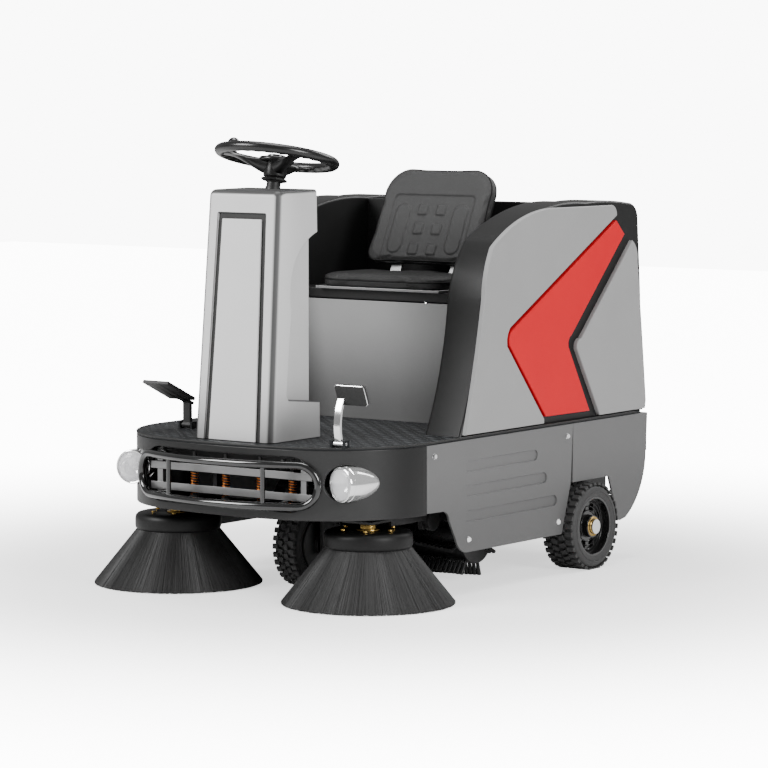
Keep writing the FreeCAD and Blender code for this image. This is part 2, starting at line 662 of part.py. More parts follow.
# ---------------------------------------------------------------- main brush
def make_main_brush():
    """Roller brush between two lifting arms, under a curved hood."""
    arms = []
    for name, side in SIDES.items():
        def along(label, radius, inner, length, at_y="main_y", at_z="main_z"):
            return rod(f"{name}_{label}", radius, length,
                       (side_start(side, inner, length), at_y, at_z), "x")
        reach = Vector(0, size("lift_y") - size("main_y"), size("lift_z") - size("main_z"))
        tilt = math.degrees(math.atan2(reach.z, reach.y))
        bar = box(f"{name}_lift_bar", (0, 0, 0), (12, reach.Length, 30))
        turn = Rotation(Vector(1, 0, 0), tilt)
        shift = turn.multVec(Vector(0, 0, -15))
        place(bar, side_start(side, 352, 12), f"main_y + {shift.y}", f"main_z + {shift.z}", turn)
        ends = [along("lift_eye", 20, 352, 12, "lift_y", "lift_z"), along("brush_eye", 20, 352, 12),
                along("brush_stub", "front_axle", 320, 32)]
        bore = along("lift_bore", "pin_bore", 340, 40, "lift_y", "lift_z")
        arms.append(cut(f"{name}_lift_arm", fuse(f"{name}_lift_body", bar, *ends), bore))
    tie = rod("lift_tie", 11, 724, (-362, 230, 236), "x")
    keep(fuse("main_brush_arms", *arms, tie))
    core = rod("core_tube", "main_core", "2 * main_half", ("-main_half", "main_y", "main_z"), "x")
    bore = rod("core_bore", "front_axle_bore", "2 * main_half + 2",
               ("-main_half - 1", "main_y", "main_z"), "x")
    hollow = rod("core_hollow", "main_core - 10", "2 * main_half - 24",
                 ("-main_half + 12", "main_y", "main_z"), "x")
    keep(cut("main_brush_core", core, bore, hollow))
    rows = []
    for number in range(8):
        turn = Rotation(Vector(1, 0, 0), 45 * number)
        corner = turn.multVec(Vector(0, -6, size("main_core") - 0.4))
        tuft = box(f"bristle_row_{number}", (0, 0, 0),
                   ("2 * main_half - 10", 12, "main_radius - main_core"))
        rows.append(place(tuft, "-main_half + 5", f"main_y + {corner.y}",
                          f"main_z + {corner.z}", turn))
    hole = rod("bristle_hole", "main_core", "2 * main_half + 2",
               ("-main_half - 1", "main_y", "main_z"), "x")
    keep(group("main_brush_bristles", *[
        cut(f"bristle_strip_{number}", tuft, hole) for number, tuft in enumerate(rows)]))
    shell = rod("hood_shell", "hood_outer", "2 * main_half + 16",
                ("-main_half - 8", "main_y", "main_z"), "x")
    hollow = rod("hood_hollow", "hood_inner", "2 * main_half + 20",
                 ("-main_half - 10", "main_y", "main_z"), "x")
    below = box("hood_below", (-400, -200, -60), (800, 600, 250))
    keep(cut("brush_hood", shell, hollow, below))


# ---------------------------------------------------------------- machinery
def make_machinery():
    """Batteries, dust filter, vacuum fan and the pull-out hopper."""
    cells = []
    for row in range(2):
        for column in range(2):
            start = (-332 + 334 * column, 50 + 180 * row, "deck_top")
            case = box(f"battery_{row}_{column}", start, (330, 175, 220))
            posts = [rod(f"post_{row}_{column}_{n}", 9, 16,
                         (-332 + 334 * column + at, 50 + 180 * row + 40, "deck_top + 218"))
                     for n, at in enumerate((40, 290))]
            cells.append(fuse(f"battery_case_{row}_{column}", case, *posts))
    keep(group("battery_pack", *cells))
    keep(box("dust_filter", (-260, 480, "deck_top"), (520, 210, 150)))
    scroll = rod("fan_scroll", 105, 70, (0, 585, "deck_top + 150"))
    outlet = box("fan_outlet", (0, 480, "deck_top + 150"), (200, 70, 70))
    motor = rod("fan_motor", 60, 110, (0, 585, "deck_top + 220"))
    keep(fuse("vacuum_fan", scroll, outlet, motor))
    wide = "2 * hopper_half"
    outer = box("hopper_outer", ("-hopper_half", "hopper_front", "hopper_low"),
                (wide, "766 - hopper_front", "hopper_high - hopper_low"))
    inner = box("hopper_inner", ("-hopper_half + 6", "hopper_front + 6", "hopper_low + 6"),
                (f"{wide} - 12", "754 - hopper_front", 400))
    mouth = box("hopper_mouth", ("-hopper_half + 6", "hopper_front - 5", "hopper_low + 46"),
                (f"{wide} - 12", 20, 400))
    face = box("hopper_face", ("-hopper_half", 766, 143), (wide, 8, 297))
    grip = rod("hopper_grip", 9, 180, (-90, "handle_reach - 9", 330), "x")
    posts = [rod(f"{name}_grip_post", 8, 28, (side * 75, 770, 330), "y")
             for name, side in SIDES.items()]
    tray = cut("hopper_tray", outer, inner, mouth)
    keep(fuse("hopper", tray, face, grip, *posts))


# ---------------------------------------------------------------- pedals
def make_pedals():
    """Accelerator lever with its rubber pad, and the brake pedal."""
    lever = prism("gas_blade", "YZ_Plane", [
        (-661, 468), ((-668, 530), (-648, 596)), (-640, 592), ((-658, 530), (-650, 468))],
        341, 22)
    boss = rod("gas_boss", 9, 34, (335, -655, 468), "x")
    pin = rod("gas_pin", 5, 52, (326, -655, 468), "x")
    plate = box("gas_plate", (0, 0, 0), (90, 3, 52))
    lean = Rotation(Vector(1, 0, 0), 22)
    place(plate, 343, -641, 580, lean)
    lever = keep(fuse("accelerator_lever", lever, boss, pin, plate))
    block = box("pad_block", (0, 0, 0), (97, 10, 58))
    lift = lean.multVec(Vector(-4, 3, -3))
    place(block, 343 + lift.x, -641 + lift.y, 580 + lift.z, lean)
    keep(cut("accelerator_pad", block, lever))
    brake = prism("brake_blade", "YZ_Plane", [
        (-650, 601), (-646, 608), (-484, 534), (-488, 527), (-494, 530), (-494, 468),
        (-506, 468), (-506, 535)], -334, 28)
    foot = prism("brake_foot", "YZ_Plane", [
        (-650, 601), (-645, 610), (-520, 553), (-525, 544)], -368, 96)
    boss = rod("brake_boss", 9, 34, (-337, -500, 468), "x")
    pin = rod("brake_pin", 5, 52, (-346, -500, 468), "x")
    keep(fuse("brake_pedal", brake, foot, boss, pin))


# ---------------------------------------------------------------- seat
def make_seat():
    """Hinged seat base, plate with back brackets, cushion and backrest."""
    rim = box("seat_rim", ("-seat_half", 30, "seat_base_low"), ("2 * seat_half", 395, 30))
    under = box("seat_under", ("-seat_half + 6", 36, "seat_base_low - 2"),
                ("2 * seat_half - 12", 383, 28))
    pins = [rod(f"{name}_seat_pin", "pin_radius", 30, (side_start(side, 308, 30), 32, 833), "x")
            for name, side in SIDES.items()]
    keep(fuse("seat_base", cut("seat_pan", rim, under), *pins))
    lean = Rotation(Vector(1, 0, 0), -size("back_lean"))
    thick = size("back_thick")
    slope = math.tan(math.radians(size("back_lean")))
    behind = lean.multVec(Vector(0, thick, 0))
    foot_z = size("seat_base_high") + 4
    foot_y = size("back_y") + behind.y - (size("back_z") + behind.z - foot_z) * slope
    pieces = [box("seat_plate_sheet", (-228, 6, "seat_base_high"), (456, 356, 8))]
    for name, side in SIDES.items():
        strap = box(f"{name}_strap", (0, 0, 0), (40, 7, 230))
        pieces.append(place(strap, side * 110 - 20, foot_y, foot_z, lean))
    keep(fuse("seat_plate", *pieces))
    half, deep, bend = size("cushion_half"), size("cushion_depth"), 55
    spot = bend * (1 - math.sqrt(0.5))
    outline = [
        (-half + bend, 0), (half - bend, 0), ((half - spot, spot), (half, bend)),
        (half, deep - bend), ((half - spot, deep - spot), (half - bend, deep)),
        (-half + bend, deep), ((-half + spot, deep - spot), (-half, deep - bend)),
        (-half, bend), ((-half + spot, spot), (-half + bend, 0)),
    ]
    block = prism("cushion_block", "XY_Plane", outline, "seat_plate_top",
                  "cushion_top - seat_plate_top")
    notches = [box(f"{name}_strap_notch", (side_start(side, 86, 48), foot_y - 6, 850),
                   (48, 200, 80)) for name, side in SIDES.items()]
    keep(cut("seat_cushion", block, *notches))
    wide, top, tall, bend = 206, 200, size("back_tall"), 80
    back = [
        (-wide + 40, 0), (wide - 40, 0), ((wide - 12, 12), (wide, 40)), (top + 4, tall - bend),
        ((top - 18, tall - 18), (top - bend, tall)), (-top + bend, tall),
        ((-top + 18, tall - 18), (-top - 4, tall - bend)), (-wide, 40),
        ((-wide + 12, 12), (-wide + 40, 0)),
    ]
    rest = prism("seat_backrest", "XZ_Plane", back, 0, "back_thick")
    keep(place(rest, 0, "back_y", "back_z", lean))


# ---------------------------------------------------------------- lights and guard
def make_lamps():
    """Bullet headlights let into the band's corners, with domed lenses."""
    shells, lenses = [], []
    for name, side in SIDES.items():
        centre = f"{side} * lamp_x"
        barrel = rod(f"{name}_lamp_barrel", "lamp_radius", 81,
                     (centre, "lamp_front + 12", "lamp_z"), "y")
        tail = cone(f"{name}_lamp_tail", "lamp_radius", 46, 5,
                    (centre, "lamp_front + 93", "lamp_z"), "y")
        shells.append(fuse(f"{name}_lamp_body", barrel, tail))
        lens = cone(f"{name}_lamp_lens", "lamp_radius - 12", "lamp_radius - 2", 12,
                    (centre, "lamp_front", "lamp_z"), "y")
        lenses.append(lens)
    keep(group("headlight_housings", *shells))
    keep(group("headlight_lenses", *lenses))


def make_guard():
    """Bowed oval tube guard across the nose, with two uprights."""
    bow, half = size("guard_bow"), size("guard_half")
    low, high = size("guard_low"), size("guard_high")
    centre = bow - size("guard_reach")
    end_y = centre - math.sqrt(bow ** 2 - half ** 2)
    slope = math.asin(half / bow)
    radius = (high - low) / 2
    middle = (high + low) / 2
    reach = Vector(math.cos(slope), math.sin(slope), 0) * radius

    def point(side, level):
        return Vector(side * half, end_y, level)

    def tip(side):
        return Vector(side * (half + reach.x), end_y + reach.y, middle)

    front = -size("guard_reach")
    route = Part.Wire([
        Part.Arc(point(-1, high), Vector(0, front, high), point(1, high)).toShape(),
        Part.Arc(point(1, high), tip(1), point(1, low)).toShape(),
        Part.Arc(point(1, low), Vector(0, front, low), point(-1, low)).toShape(),
        Part.Arc(point(-1, low), tip(-1), point(-1, high)).toShape(),
    ])
    start = Vector(-half, end_y, high)
    along = Vector(math.cos(slope), -math.sin(slope), 0)
    circle = Part.Wire([Part.Circle(start, along, size("guard_tube")).toShape()])
    ring = route.makePipeShell([circle], True, True)
    shape = ring
    for side in (-1, 1):
        across = 170
        at_y = centre - math.sqrt(bow ** 2 - across ** 2)
        bar = Part.makeCylinder(7, high - low, Vector(side * across, at_y, low))
        shape = shape.fuse(bar)
        for level in (low, high):
            stay = Part.makeCylinder(8, 60, Vector(side * 215, centre - math.sqrt(
                bow ** 2 - 215 ** 2), level), Vector(0, 1, 0))
            shape = shape.fuse(stay)
    guard = new("Part::Feature", "guard_tubes")
    guard.Shape = shape.Solids[0] if len(shape.Solids) == 1 else shape
    nose = prism("guard_nose", "XY_Plane", plan_outline(0, size("band_rear")),
                 "band_bottom", "band_height")
    keep(cut("bumper_guard", guard, nose))


def check_objects():
    """Stop if any object failed, or a sub-part has no valid closed solid."""
    for item in doc.Objects:
        if "Invalid" in item.State or "Error" in item.State:
            raise RuntimeError(f"{item.Label} failed: {item.State}")
    for name, item in parts.items():
        shape = item.Shape
        if shape.isNull() or not shape.isValid() or not shape.Solids:
            raise RuntimeError(f"{name} has no valid solid")


def main():
    """Build every sub-part and write one STEP file for each."""
    for build in (
        make_frame, make_band, make_deck, make_side_covers, make_rear_skirt, make_body_sides,
        make_rear_cover, make_tower, make_steering, make_chain, make_fork, make_rear_wheels,
        make_side_brushes, make_main_brush, make_machinery, make_pedals, make_seat, make_lamps,
        make_guard,
    ):
        build()
    doc.recompute()
    check_objects()
    os.makedirs("parts", exist_ok=True)
    for name, item in parts.items():
        item.Shape.exportStep(os.path.join("parts", name + ".step"))
        print(name, len(item.Shape.Solids), round(item.Shape.Volume / 1e6, 3))
    print(len(parts), "sub-parts")


main()
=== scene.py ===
"""Looks of a ride-on floor sweeper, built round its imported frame.

Metres. The machine faces -Y, +Z is up, and +X is on the right as seen from the front,
which is the side that the names call right.
"""

import logging
import math
import random
from collections.abc import Callable, Iterable, Sequence
from dataclasses import dataclass
from enum import Enum

import bmesh
import bpy
from mathutils import Matrix, Vector
from mathutils.bvhtree import BVHTree


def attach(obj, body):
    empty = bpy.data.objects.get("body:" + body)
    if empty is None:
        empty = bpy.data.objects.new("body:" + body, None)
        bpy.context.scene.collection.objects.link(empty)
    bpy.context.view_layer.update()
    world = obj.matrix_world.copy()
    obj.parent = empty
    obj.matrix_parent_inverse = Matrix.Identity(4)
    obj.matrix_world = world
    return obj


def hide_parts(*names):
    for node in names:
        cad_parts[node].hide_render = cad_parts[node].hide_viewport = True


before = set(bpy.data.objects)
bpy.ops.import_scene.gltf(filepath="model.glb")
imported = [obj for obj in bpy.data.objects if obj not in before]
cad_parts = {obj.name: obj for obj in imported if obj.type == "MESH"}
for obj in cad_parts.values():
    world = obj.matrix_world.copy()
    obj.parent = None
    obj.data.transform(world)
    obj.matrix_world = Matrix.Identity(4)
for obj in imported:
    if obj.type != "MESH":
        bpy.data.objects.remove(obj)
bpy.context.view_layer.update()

logging.basicConfig(level=logging.INFO, format="%(name)s: %(message)s")
log = logging.getLogger("sweeper")

Point = tuple[float, float, float]
Profile = Sequence[tuple[float, float]]
LEFT, RIGHT = -1, 1
SIDES = {"left": LEFT, "right": RIGHT}
TURN = 2 * math.pi
WEAR = 0.06
COAT_ROUGHNESS = 0.12
MERGE = 1e-6


# ------------------------------------------------------------------- wiring
class Wiring:
    """A node tree being wired up."""

    def __init__(self, group: bpy.types.NodeTree) -> None:
        """Start on a tree.

        Args:
            group: The node tree that gets the nodes.
        """
        self.group = group

    def add(self, kind: str, settings: dict[str, object] | None = None,
            **sockets: object) -> bpy.types.Node:
        """Add a node.

        Args:
            kind: The node's type name without its prefix, or its full name.
            settings: Node properties by name.
            **sockets: Input values or source sockets, by name with _ for a space,
                or by number after the letter n.

        Returns:
            The node.
        """
        full = kind if kind.startswith(("ShaderNode", "FunctionNode")) else f"GeometryNode{kind}"
        node = self.group.nodes.new(full)
        for key, value in (settings or {}).items():
            setattr(node, key, value)
        for key, value in sockets.items():
            known = key[0] == "n" and key[1:].isdigit()
            self.put(node.inputs[int(key[1:]) if known else key.replace("_", " ")], value)
        return node

    def put(self, socket: bpy.types.NodeSocket, value: object) -> None:
        """Set an input to a value, or link it to a source socket."""
        if isinstance(value, bpy.types.NodeSocket):
            self.group.links.new(value, socket)
        else:
            socket.default_value = value

    def math(self, what: str, first: object, second: object = 0.0) -> bpy.types.NodeSocket:
        """Add a Math node and return its result."""
        return self.add("ShaderNodeMath", {"operation": what}, n0=first, n1=second).outputs[0]

    def eased(self, driver: bpy.types.NodeSocket, span: Sequence[float]) -> bpy.types.NodeSocket:
        """Map a value smoothly.

        Args:
            driver: The socket to map.
            span: From, to, the result at from and the result at to.

        Returns:
            The socket that carries the result.
        """
        low, high, first, last = span
        return self.add("ShaderNodeMapRange", {"interpolation_type": "SMOOTHSTEP"},
                        Value=driver, From_Min=low, From_Max=high, To_Min=first,
                        To_Max=last).outputs["Result"]


# ------------------------------------------------------------------ finishes
class Relief(Enum):
    """How a surface feels: what its bump is made of."""

    SMOOTH = "smooth"
    GRAIN = "grain"
    LEATHER = "leather"
    BRUSHED = "brushed"
    CAST = "cast"
    PLEATED = "pleated"


def grey(level: float, warm: float = 0.0) -> Point:
    """Turn a display grey into linear light.

    Args:
        level: Display brightness, 0 to 255.
        warm: How far red is raised and blue lowered, as a share.

    Returns:
        A linear red, green, blue colour.
    """
    value = (level / 255 + 0.055) / 1.055
    value = value ** 2.4
    return (value * (1 + warm), value, value * (1 - warm))


@dataclass(frozen=True)
class Finish:
    """A surface finish, made into a node material when it is first used."""

    name: str
    colour: Point
    roughness: float
    metallic: float = 0.0
    relief: Relief = Relief.GRAIN
    scale: float = 450.0
    depth: float = 0.12
    mottle: float = 0.10
    coat: float = 0.0
    sheen: float = 0.0
    clear: float = 0.0
    stretch: Point = (1.0, 1.0, 1.0)
    # painted shade: how far the colour darkens where the surface turns from upright, on bevels
    # and tops
    turn_shade: float = 0.0
    shine: float = 0.5
    # painted light and shade: ramps of (axis, from, to, share at from, share at to) that scale
    # the colour along an object axis
    painted_light_ramps: tuple[tuple[float, ...], ...] = ()

    def material(self) -> bpy.types.Material:
        """Return the finish's material, building its nodes the first time."""
        known = bpy.data.materials.get(self.name)
        if known is not None:
            return known
        made = bpy.data.materials.new(self.name)
        made.use_nodes = True
        wiring = Wiring(made.node_tree)
        shader = made.node_tree.nodes["Principled BSDF"]
        for label, value in (("Metallic", self.metallic), ("Coat Weight", self.coat),
                             ("Coat Roughness", COAT_ROUGHNESS), ("Sheen Weight", self.sheen),
                             ("Transmission Weight", self.clear),
                             ("Specular IOR Level", self.shine)):
            shader.inputs[label].default_value = value
        place = wiring.add("ShaderNodeTexCoord")
        spot = place.outputs["Object"]
        stretched = wiring.add("ShaderNodeMapping", Scale=self.stretch,
                               Vector=spot).outputs["Vector"]
        patches = wiring.add("ShaderNodeTexNoise", Scale=9.0, Detail=5.0, Vector=spot)
        fine = wiring.add("ShaderNodeTexNoise", Scale=self.scale, Detail=3.0, Vector=stretched)
        blend = wiring.add("ShaderNodeMix", {"data_type": "FLOAT"}, Factor=0.6,
                           A=patches.outputs["Fac"], B=fine.outputs["Fac"])
        shades = wiring.add("ShaderNodeValToRGB", Fac=blend.outputs["Result"])
        stops = shades.color_ramp.elements
        for stop, share, at in zip(stops, (1 - self.mottle, 1 + self.mottle), (0.3, 0.7)):
            stop.color = (*(min(1.0, part * share) for part in self.colour), 1.0)
            stop.position = at
        wiring.put(shader.inputs["Base Color"],
                   self._turned(wiring, place, shades.outputs["Color"]))
        worn = wiring.add("ShaderNodeMapRange", Value=patches.outputs["Fac"],
                          To_Min=max(0.02, self.roughness - WEAR),
                          To_Max=min(1.0, self.roughness + WEAR))
        wiring.put(shader.inputs["Roughness"], worn.outputs["Result"])
        height = self._height(wiring, stretched, fine)
        if height is not None:
            bump = wiring.add("ShaderNodeBump", Strength=self.depth, Distance=0.001,
                              Height=height)
            wiring.put(shader.inputs["Normal"], bump.outputs["Normal"])
        return made

    def _turned(self, wiring: Wiring, place: bpy.types.Node,
                colour: bpy.types.NodeSocket) -> bpy.types.NodeSocket:
        """Paint light and shade into the colour, by where the surface is and which way it turns.

        Args:
            wiring: The material's tree.
            place: The texture coordinate node.
            colour: The plain colour's socket.

        Returns:
            The socket that carries the colour.
        """
        shares = []
        # painted shade on bevels and tops, by the surface's normal
        if self.turn_shade:
            facing = wiring.add("ShaderNodeSeparateXYZ", n0=place.outputs["Normal"])
            flat = [wiring.math("ABSOLUTE", facing.outputs[axis]) for axis in (0, 1)]
            shares.append(wiring.eased(wiring.math("MAXIMUM", *flat),
                                       (0.84, 0.99, 1.0 - self.turn_shade, 1.0)))
        # painted light and shade: ramps that scale the colour along object axes
        for axis, *span in self.painted_light_ramps:
            where = wiring.add("ShaderNodeSeparateXYZ", n0=place.outputs["Object"])
            shares.append(wiring.eased(where.outputs[axis], span))
        for share in shares:
            colour = wiring.add("ShaderNodeVectorMath", {"operation": "SCALE"}, n0=colour,
                                Scale=share).outputs[0]
        return colour

    def _height(self, wiring: Wiring, spot: bpy.types.NodeSocket,
                fine: bpy.types.Node) -> bpy.types.NodeSocket | None:
        """Build the relief's height.

        Args:
            wiring: The material's tree.
            spot: The socket that holds the stretched object coordinates.
            fine: The fine noise node.

        Returns:
            The socket that carries the height, or None for a smooth finish.
        """
        if self.relief is Relief.SMOOTH:
            return None
        if self.relief is Relief.LEATHER:
            cells = wiring.add("ShaderNodeTexVoronoi", {"feature": "DISTANCE_TO_EDGE"},
                               Scale=self.scale, Vector=spot)
            return wiring.add("ShaderNodeMapRange", From_Max=0.18,
                              Value=cells.outputs["Distance"]).outputs["Result"]
        if self.relief is Relief.PLEATED:
            return wiring.add("ShaderNodeTexWave", Scale=self.scale,
                              Vector=spot).outputs["Fac"]
        if self.relief is Relief.CAST:
            fine.inputs["Detail"].default_value = 8.0
            fine.inputs["Roughness"].default_value = 0.7
        return fine.outputs["Fac"]


# painted shade: darker on the bevels and the crown, towards the rear and towards the bottom
TOWER = Finish("tower_moulding", grey(206), 0.42, scale=520, depth=0.20, mottle=0.03,
               turn_shade=0.9, painted_light_ramps=((1, -0.64, -0.52, 1.0, 0.86),
                                      (2, 0.44, 0.66, 0.42, 1.0)))
FACE = Finish("tower_face", grey(208), 0.42, scale=520, depth=0.20, mottle=0.03)
PANEL = Finish("panel_moulding", grey(146), 0.5, scale=480, depth=0.24, mottle=0.05,
               shine=0.35)
RED = Finish("red_moulding", (0.60, 0.004, 0.012), 0.45, scale=480, depth=0.2, mottle=0.06,
             shine=0.2)
FENDER = Finish("fender_moulding", grey(24), 0.40, scale=480, depth=0.22, mottle=0.08,
                shine=0.28)
# painted shade: darker towards the bottom
COVER = Finish("cover_paint", grey(102), 0.5, scale=520, depth=0.26, mottle=0.05,
               shine=0.3, painted_light_ramps=((2, 0.18, 0.40, 0.78, 1.0),))
# painted highlight: up to 3.4 times lighter towards the right flank, with painted shade at its
# right end
BAND = Finish("band_paint", grey(22), 0.34, scale=600, depth=0.14, mottle=0.08, shine=0.3,
              painted_light_ramps=((0, 0.05, 0.34, 1.0, 3.4), (0, 0.42, 0.482, 1.0, 0.3)))
# painted shade: darker towards the bottom
SEAT_BOX = Finish("seat_box_paint", grey(150), 0.45, scale=480, depth=0.2, mottle=0.05,
                  shine=0.3, painted_light_ramps=((2, 0.46, 0.80, 0.36, 1.0),))
FRAME = Finish("frame_paint", grey(26), 0.5, relief=Relief.CAST, scale=260, depth=0.2)
TREAD = Finish("tread_sheet", grey(24, -0.10), 0.5, metallic=0.0, scale=160, mottle=0.15,
               shine=0.25)
LUG = Finish("tread_lugs", grey(56, -0.06), 0.42, metallic=0.4, scale=240, mottle=0.2,
             shine=0.3)
SILVER = Finish("silver_sheet", grey(128), 0.34, metallic=0.8, relief=Relief.BRUSHED,
                scale=90, depth=0.06, mottle=0.06, stretch=(1.0, 12.0, 12.0))
CHROME = Finish("bright_metal", grey(228), 0.12, metallic=1.0, scale=120, depth=0.02,
                mottle=0.03)
BRASS = Finish("brass", (0.52, 0.34, 0.10), 0.26, metallic=1.0, scale=200, depth=0.05)
COPPER = Finish("copper_spring", (0.62, 0.20, 0.05), 0.32, metallic=0.85, scale=200,
                depth=0.05)
GLOSS = Finish("guard_enamel", grey(14), 0.10, relief=Relief.SMOOTH, mottle=0.05, coat=0.8)
# painted shade: a dark sheet for the shade in the groove round the tower's front panel
GROOVE_SHADE = Finish("groove_shade_sheet", grey(20), 0.6, scale=600, depth=0.15, mottle=0.08)
WHEEL = Finish("soft_black", grey(16), 0.28, scale=700, depth=0.10, mottle=0.10)
KNOB = Finish("polished_black", grey(12), 0.12, relief=Relief.SMOOTH, coat=0.5, mottle=0.05)
CAP = Finish("brush_cap", grey(16), 0.46, scale=500, depth=0.12, mottle=0.10, shine=0.25)
# painted light: darker low on the seat, up to 1.7 times lighter towards the top of the backrest
VINYL = Finish("grained_vinyl", grey(40), 0.46, relief=Relief.LEATHER, scale=420, depth=0.4,
               mottle=0.06, shine=0.28, painted_light_ramps=((2, 0.92, 1.13, 0.8, 1.7),))
PIPING = Finish("piping_vinyl", grey(12), 0.5, scale=900, depth=0.15, shine=0.15)
RUBBER = Finish("ribbed_rubber", grey(18), 0.6, scale=900, depth=0.2)
TYRE = Finish("tyre_rubber", grey(52), 0.62, relief=Relief.CAST, scale=420, depth=0.28,
              mottle=0.12)
RIM = Finish("rim_enamel", grey(20), 0.22, scale=300, depth=0.06, coat=0.4)
BRISTLE = Finish("nylon_bristle", grey(40), 0.6, scale=60, mottle=0.14, depth=0.1)
ROOTS = Finish("bristle_roots", grey(28), 0.7, scale=500, mottle=0.2, depth=0.4)
LAMP = Finish("lamp_housing", grey(244), 0.12, metallic=0.8, scale=120, depth=0.02,
              mottle=0.02, coat=0.6)
GLASS = Finish("lamp_glass", grey(250), 0.04, relief=Relief.SMOOTH, mottle=0.0, clear=0.85)
MACHINE = Finish("machine_enamel", grey(30), 0.45, relief=Relief.CAST, scale=300, depth=0.2)
BATTERY = Finish("battery_case", grey(40), 0.5, scale=300, depth=0.15)
PAPER = Finish("filter_paper", (0.62, 0.57, 0.44), 0.9, relief=Relief.PLEATED, scale=40,
               depth=0.6)
HOPPER = Finish("hopper_moulding", grey(30), 0.5, scale=420, depth=0.25)


# ------------------------------------------------------------------- meshes
def link(name: str, mesh: bpy.types.Mesh) -> bpy.types.Object:
    """Put a mesh in the scene as an object at the origin."""
    made = bpy.data.objects.new(name, mesh)
    bpy.context.scene.collection.objects.link(made)
    return made


def smooth(piece: bpy.types.Object, sharp: float = 38.0) -> bpy.types.Object:
    """Shade a piece smooth, with its edges sharper than an angle kept crisp."""
    for face in piece.data.polygons:
        face.use_smooth = True
    piece.data.set_sharp_from_angle(angle=math.radians(sharp))
    return piece


def shape(name: str, points: Iterable[Point], faces: Iterable[Sequence[int]],
          sharp: float = 38.0, place: Matrix | None = None) -> bpy.types.Object:
    """Make an object from points and faces, with its normals outwards.

    Args:
        name: The piece's name.
        points: Its corners.
        faces: Corner numbers of each face.
        sharp: The angle in degrees past which an edge stays crisp.
        place: A matrix applied to the points.

    Returns:
        The new object, at the origin.
    """
    mesh = bpy.data.meshes.new(name)
    mesh.from_pydata([tuple(point) for point in points], [], list(faces))
    work = bmesh.new()
    work.from_mesh(mesh)
    bmesh.ops.remove_doubles(work, verts=work.verts, dist=MERGE)
    bmesh.ops.recalc_face_normals(work, faces=work.faces)
    if place is not None:
        bmesh.ops.transform(work, matrix=place, verts=work.verts)
    work.to_mesh(mesh)
    work.free()
    return smooth(link(name, mesh), sharp)


def settle(piece: bpy.types.Object) -> bpy.types.Object:
    """Turn a piece's modifiers into plain mesh."""
    bpy.context.view_layer.update()
    graph = bpy.context.evaluated_depsgraph_get()
    mesh = bpy.data.meshes.new_from_object(
        piece.evaluated_get(graph), preserve_all_data_layers=True, depsgraph=graph)
    piece.modifiers.clear()
    piece.data = mesh
    return piece


def join(name: str, pieces: Sequence[bpy.types.Object]) -> bpy.types.Object:
    """Put several pieces' meshes into one piece and drop the originals."""
    work = bmesh.new()
    for piece in pieces:
        work.from_mesh(piece.data)
    mesh = bpy.data.meshes.new(name)
    work.to_mesh(mesh)
    work.free()
    for piece in pieces:
        bpy.data.objects.remove(piece)
    return smooth(link(name, mesh))


def lathe(name: str, profile: Profile, centre: Point, axis: str = "Z", steps: int = 64,
          place: Matrix | None = None, closed: bool = False) -> bpy.types.Object:
    """Turn a profile round an axis.

    Args:
        name: The piece's name.
        profile: (radius, distance along the axis) points; a radius of 0 is a pole.
        centre: A point on the axis, where the distance is 0.
        axis: "X", "Y" or "Z".
        steps: How many faces go round.
        place: A matrix applied afterwards.
        closed: Whether the last point joins the first, as on a ring.

    Returns:
        The turned piece.
    """
    points, faces = [], []
    for step in range(steps):
        angle = TURN * step / steps
        across, up = math.cos(angle), math.sin(angle)
        for radius, along in profile:
            spot = {"X": (along, radius * across, radius * up),
                    "Y": (radius * up, along, radius * across),
                    "Z": (radius * across, radius * up, along)}[axis]
            points.append(tuple(spot[k] + centre[k] for k in range(3)))
    count = len(profile)
    for step in range(steps):
        here, there = step * count, (step + 1) % steps * count
        for k in range(count if closed else count - 1):
            after = (k + 1) % count
            faces.append((here + k, here + after, there + after, there + k))
    piece = shape(name, points, faces, place=place)
    return cleaned(piece)


def cleaned(piece: bpy.types.Object) -> bpy.types.Object:
    """Merge the doubles at a piece's poles, drop flat faces and turn normals outwards."""
    work = bmesh.new()
    work.from_mesh(piece.data)
    bmesh.ops.remove_doubles(work, verts=work.verts, dist=MERGE)
    bmesh.ops.dissolve_degenerate(work, edges=work.edges, dist=1e-7)
    open_edges = [edge for edge in work.edges if edge.is_boundary]
    if open_edges:
        bmesh.ops.holes_fill(work, edges=open_edges, sides=0)
    bmesh.ops.recalc_face_normals(work, faces=work.faces)
    work.to_mesh(piece.data)
    work.free()
    return smooth(piece)


def tube(name: str, path: Sequence[Vector], radius: float, loop: bool = False,
         steps: int = 20) -> bpy.types.Object:
    """Sweep a round section along a path of points.

    Args:
        name: The piece's name.
        path: Points along the middle.
        radius: The tube's radius.
        loop: Whether the path closes on itself.
        steps: Faces round the section.

    Returns:
        The tube, with closed ends where it isn't a loop.
    """
    points, faces = [], []
    count = len(path)
    side = None
    for k, spot in enumerate(path):
        before = path[k - 1] if k or loop else spot
        after = path[(k + 1) % count] if k < count - 1 or loop else spot
        along = (after - before).normalized()
        if side is None:
            side = along.orthogonal().normalized()
        side = (side - along * side.dot(along)).normalized()
        up = along.cross(side)
        for step in range(steps):
            angle = TURN * step / steps
            points.append(spot + radius * (side * math.cos(angle) + up * math.sin(angle)))
    rings = count if loop else count - 1
    twist = 0
    if loop:
        start = points[0] - path[0]
        ends = [(points[(count - 1) * steps + n] - path[-1]).dot(start) for n in range(steps)]
        twist = ends.index(max(ends))
    for ring in range(rings):
        shift = twist if ring == count - 1 else 0
        for step in range(steps):
            low = ring * steps + (step + shift) % steps
            low_next = ring * steps + (step + 1 + shift) % steps
            high = (ring + 1) % count * steps + step
            high_next = (ring + 1) % count * steps + (step + 1) % steps
            faces.append((low, low_next, high_next, high))
    if not loop:
        faces.append(tuple(reversed(range(steps))))
        faces.append(tuple(range((count - 1) * steps, count * steps)))
    return shape(name, points, faces)


EdgeRule = Callable[[Vector, Vector], float]


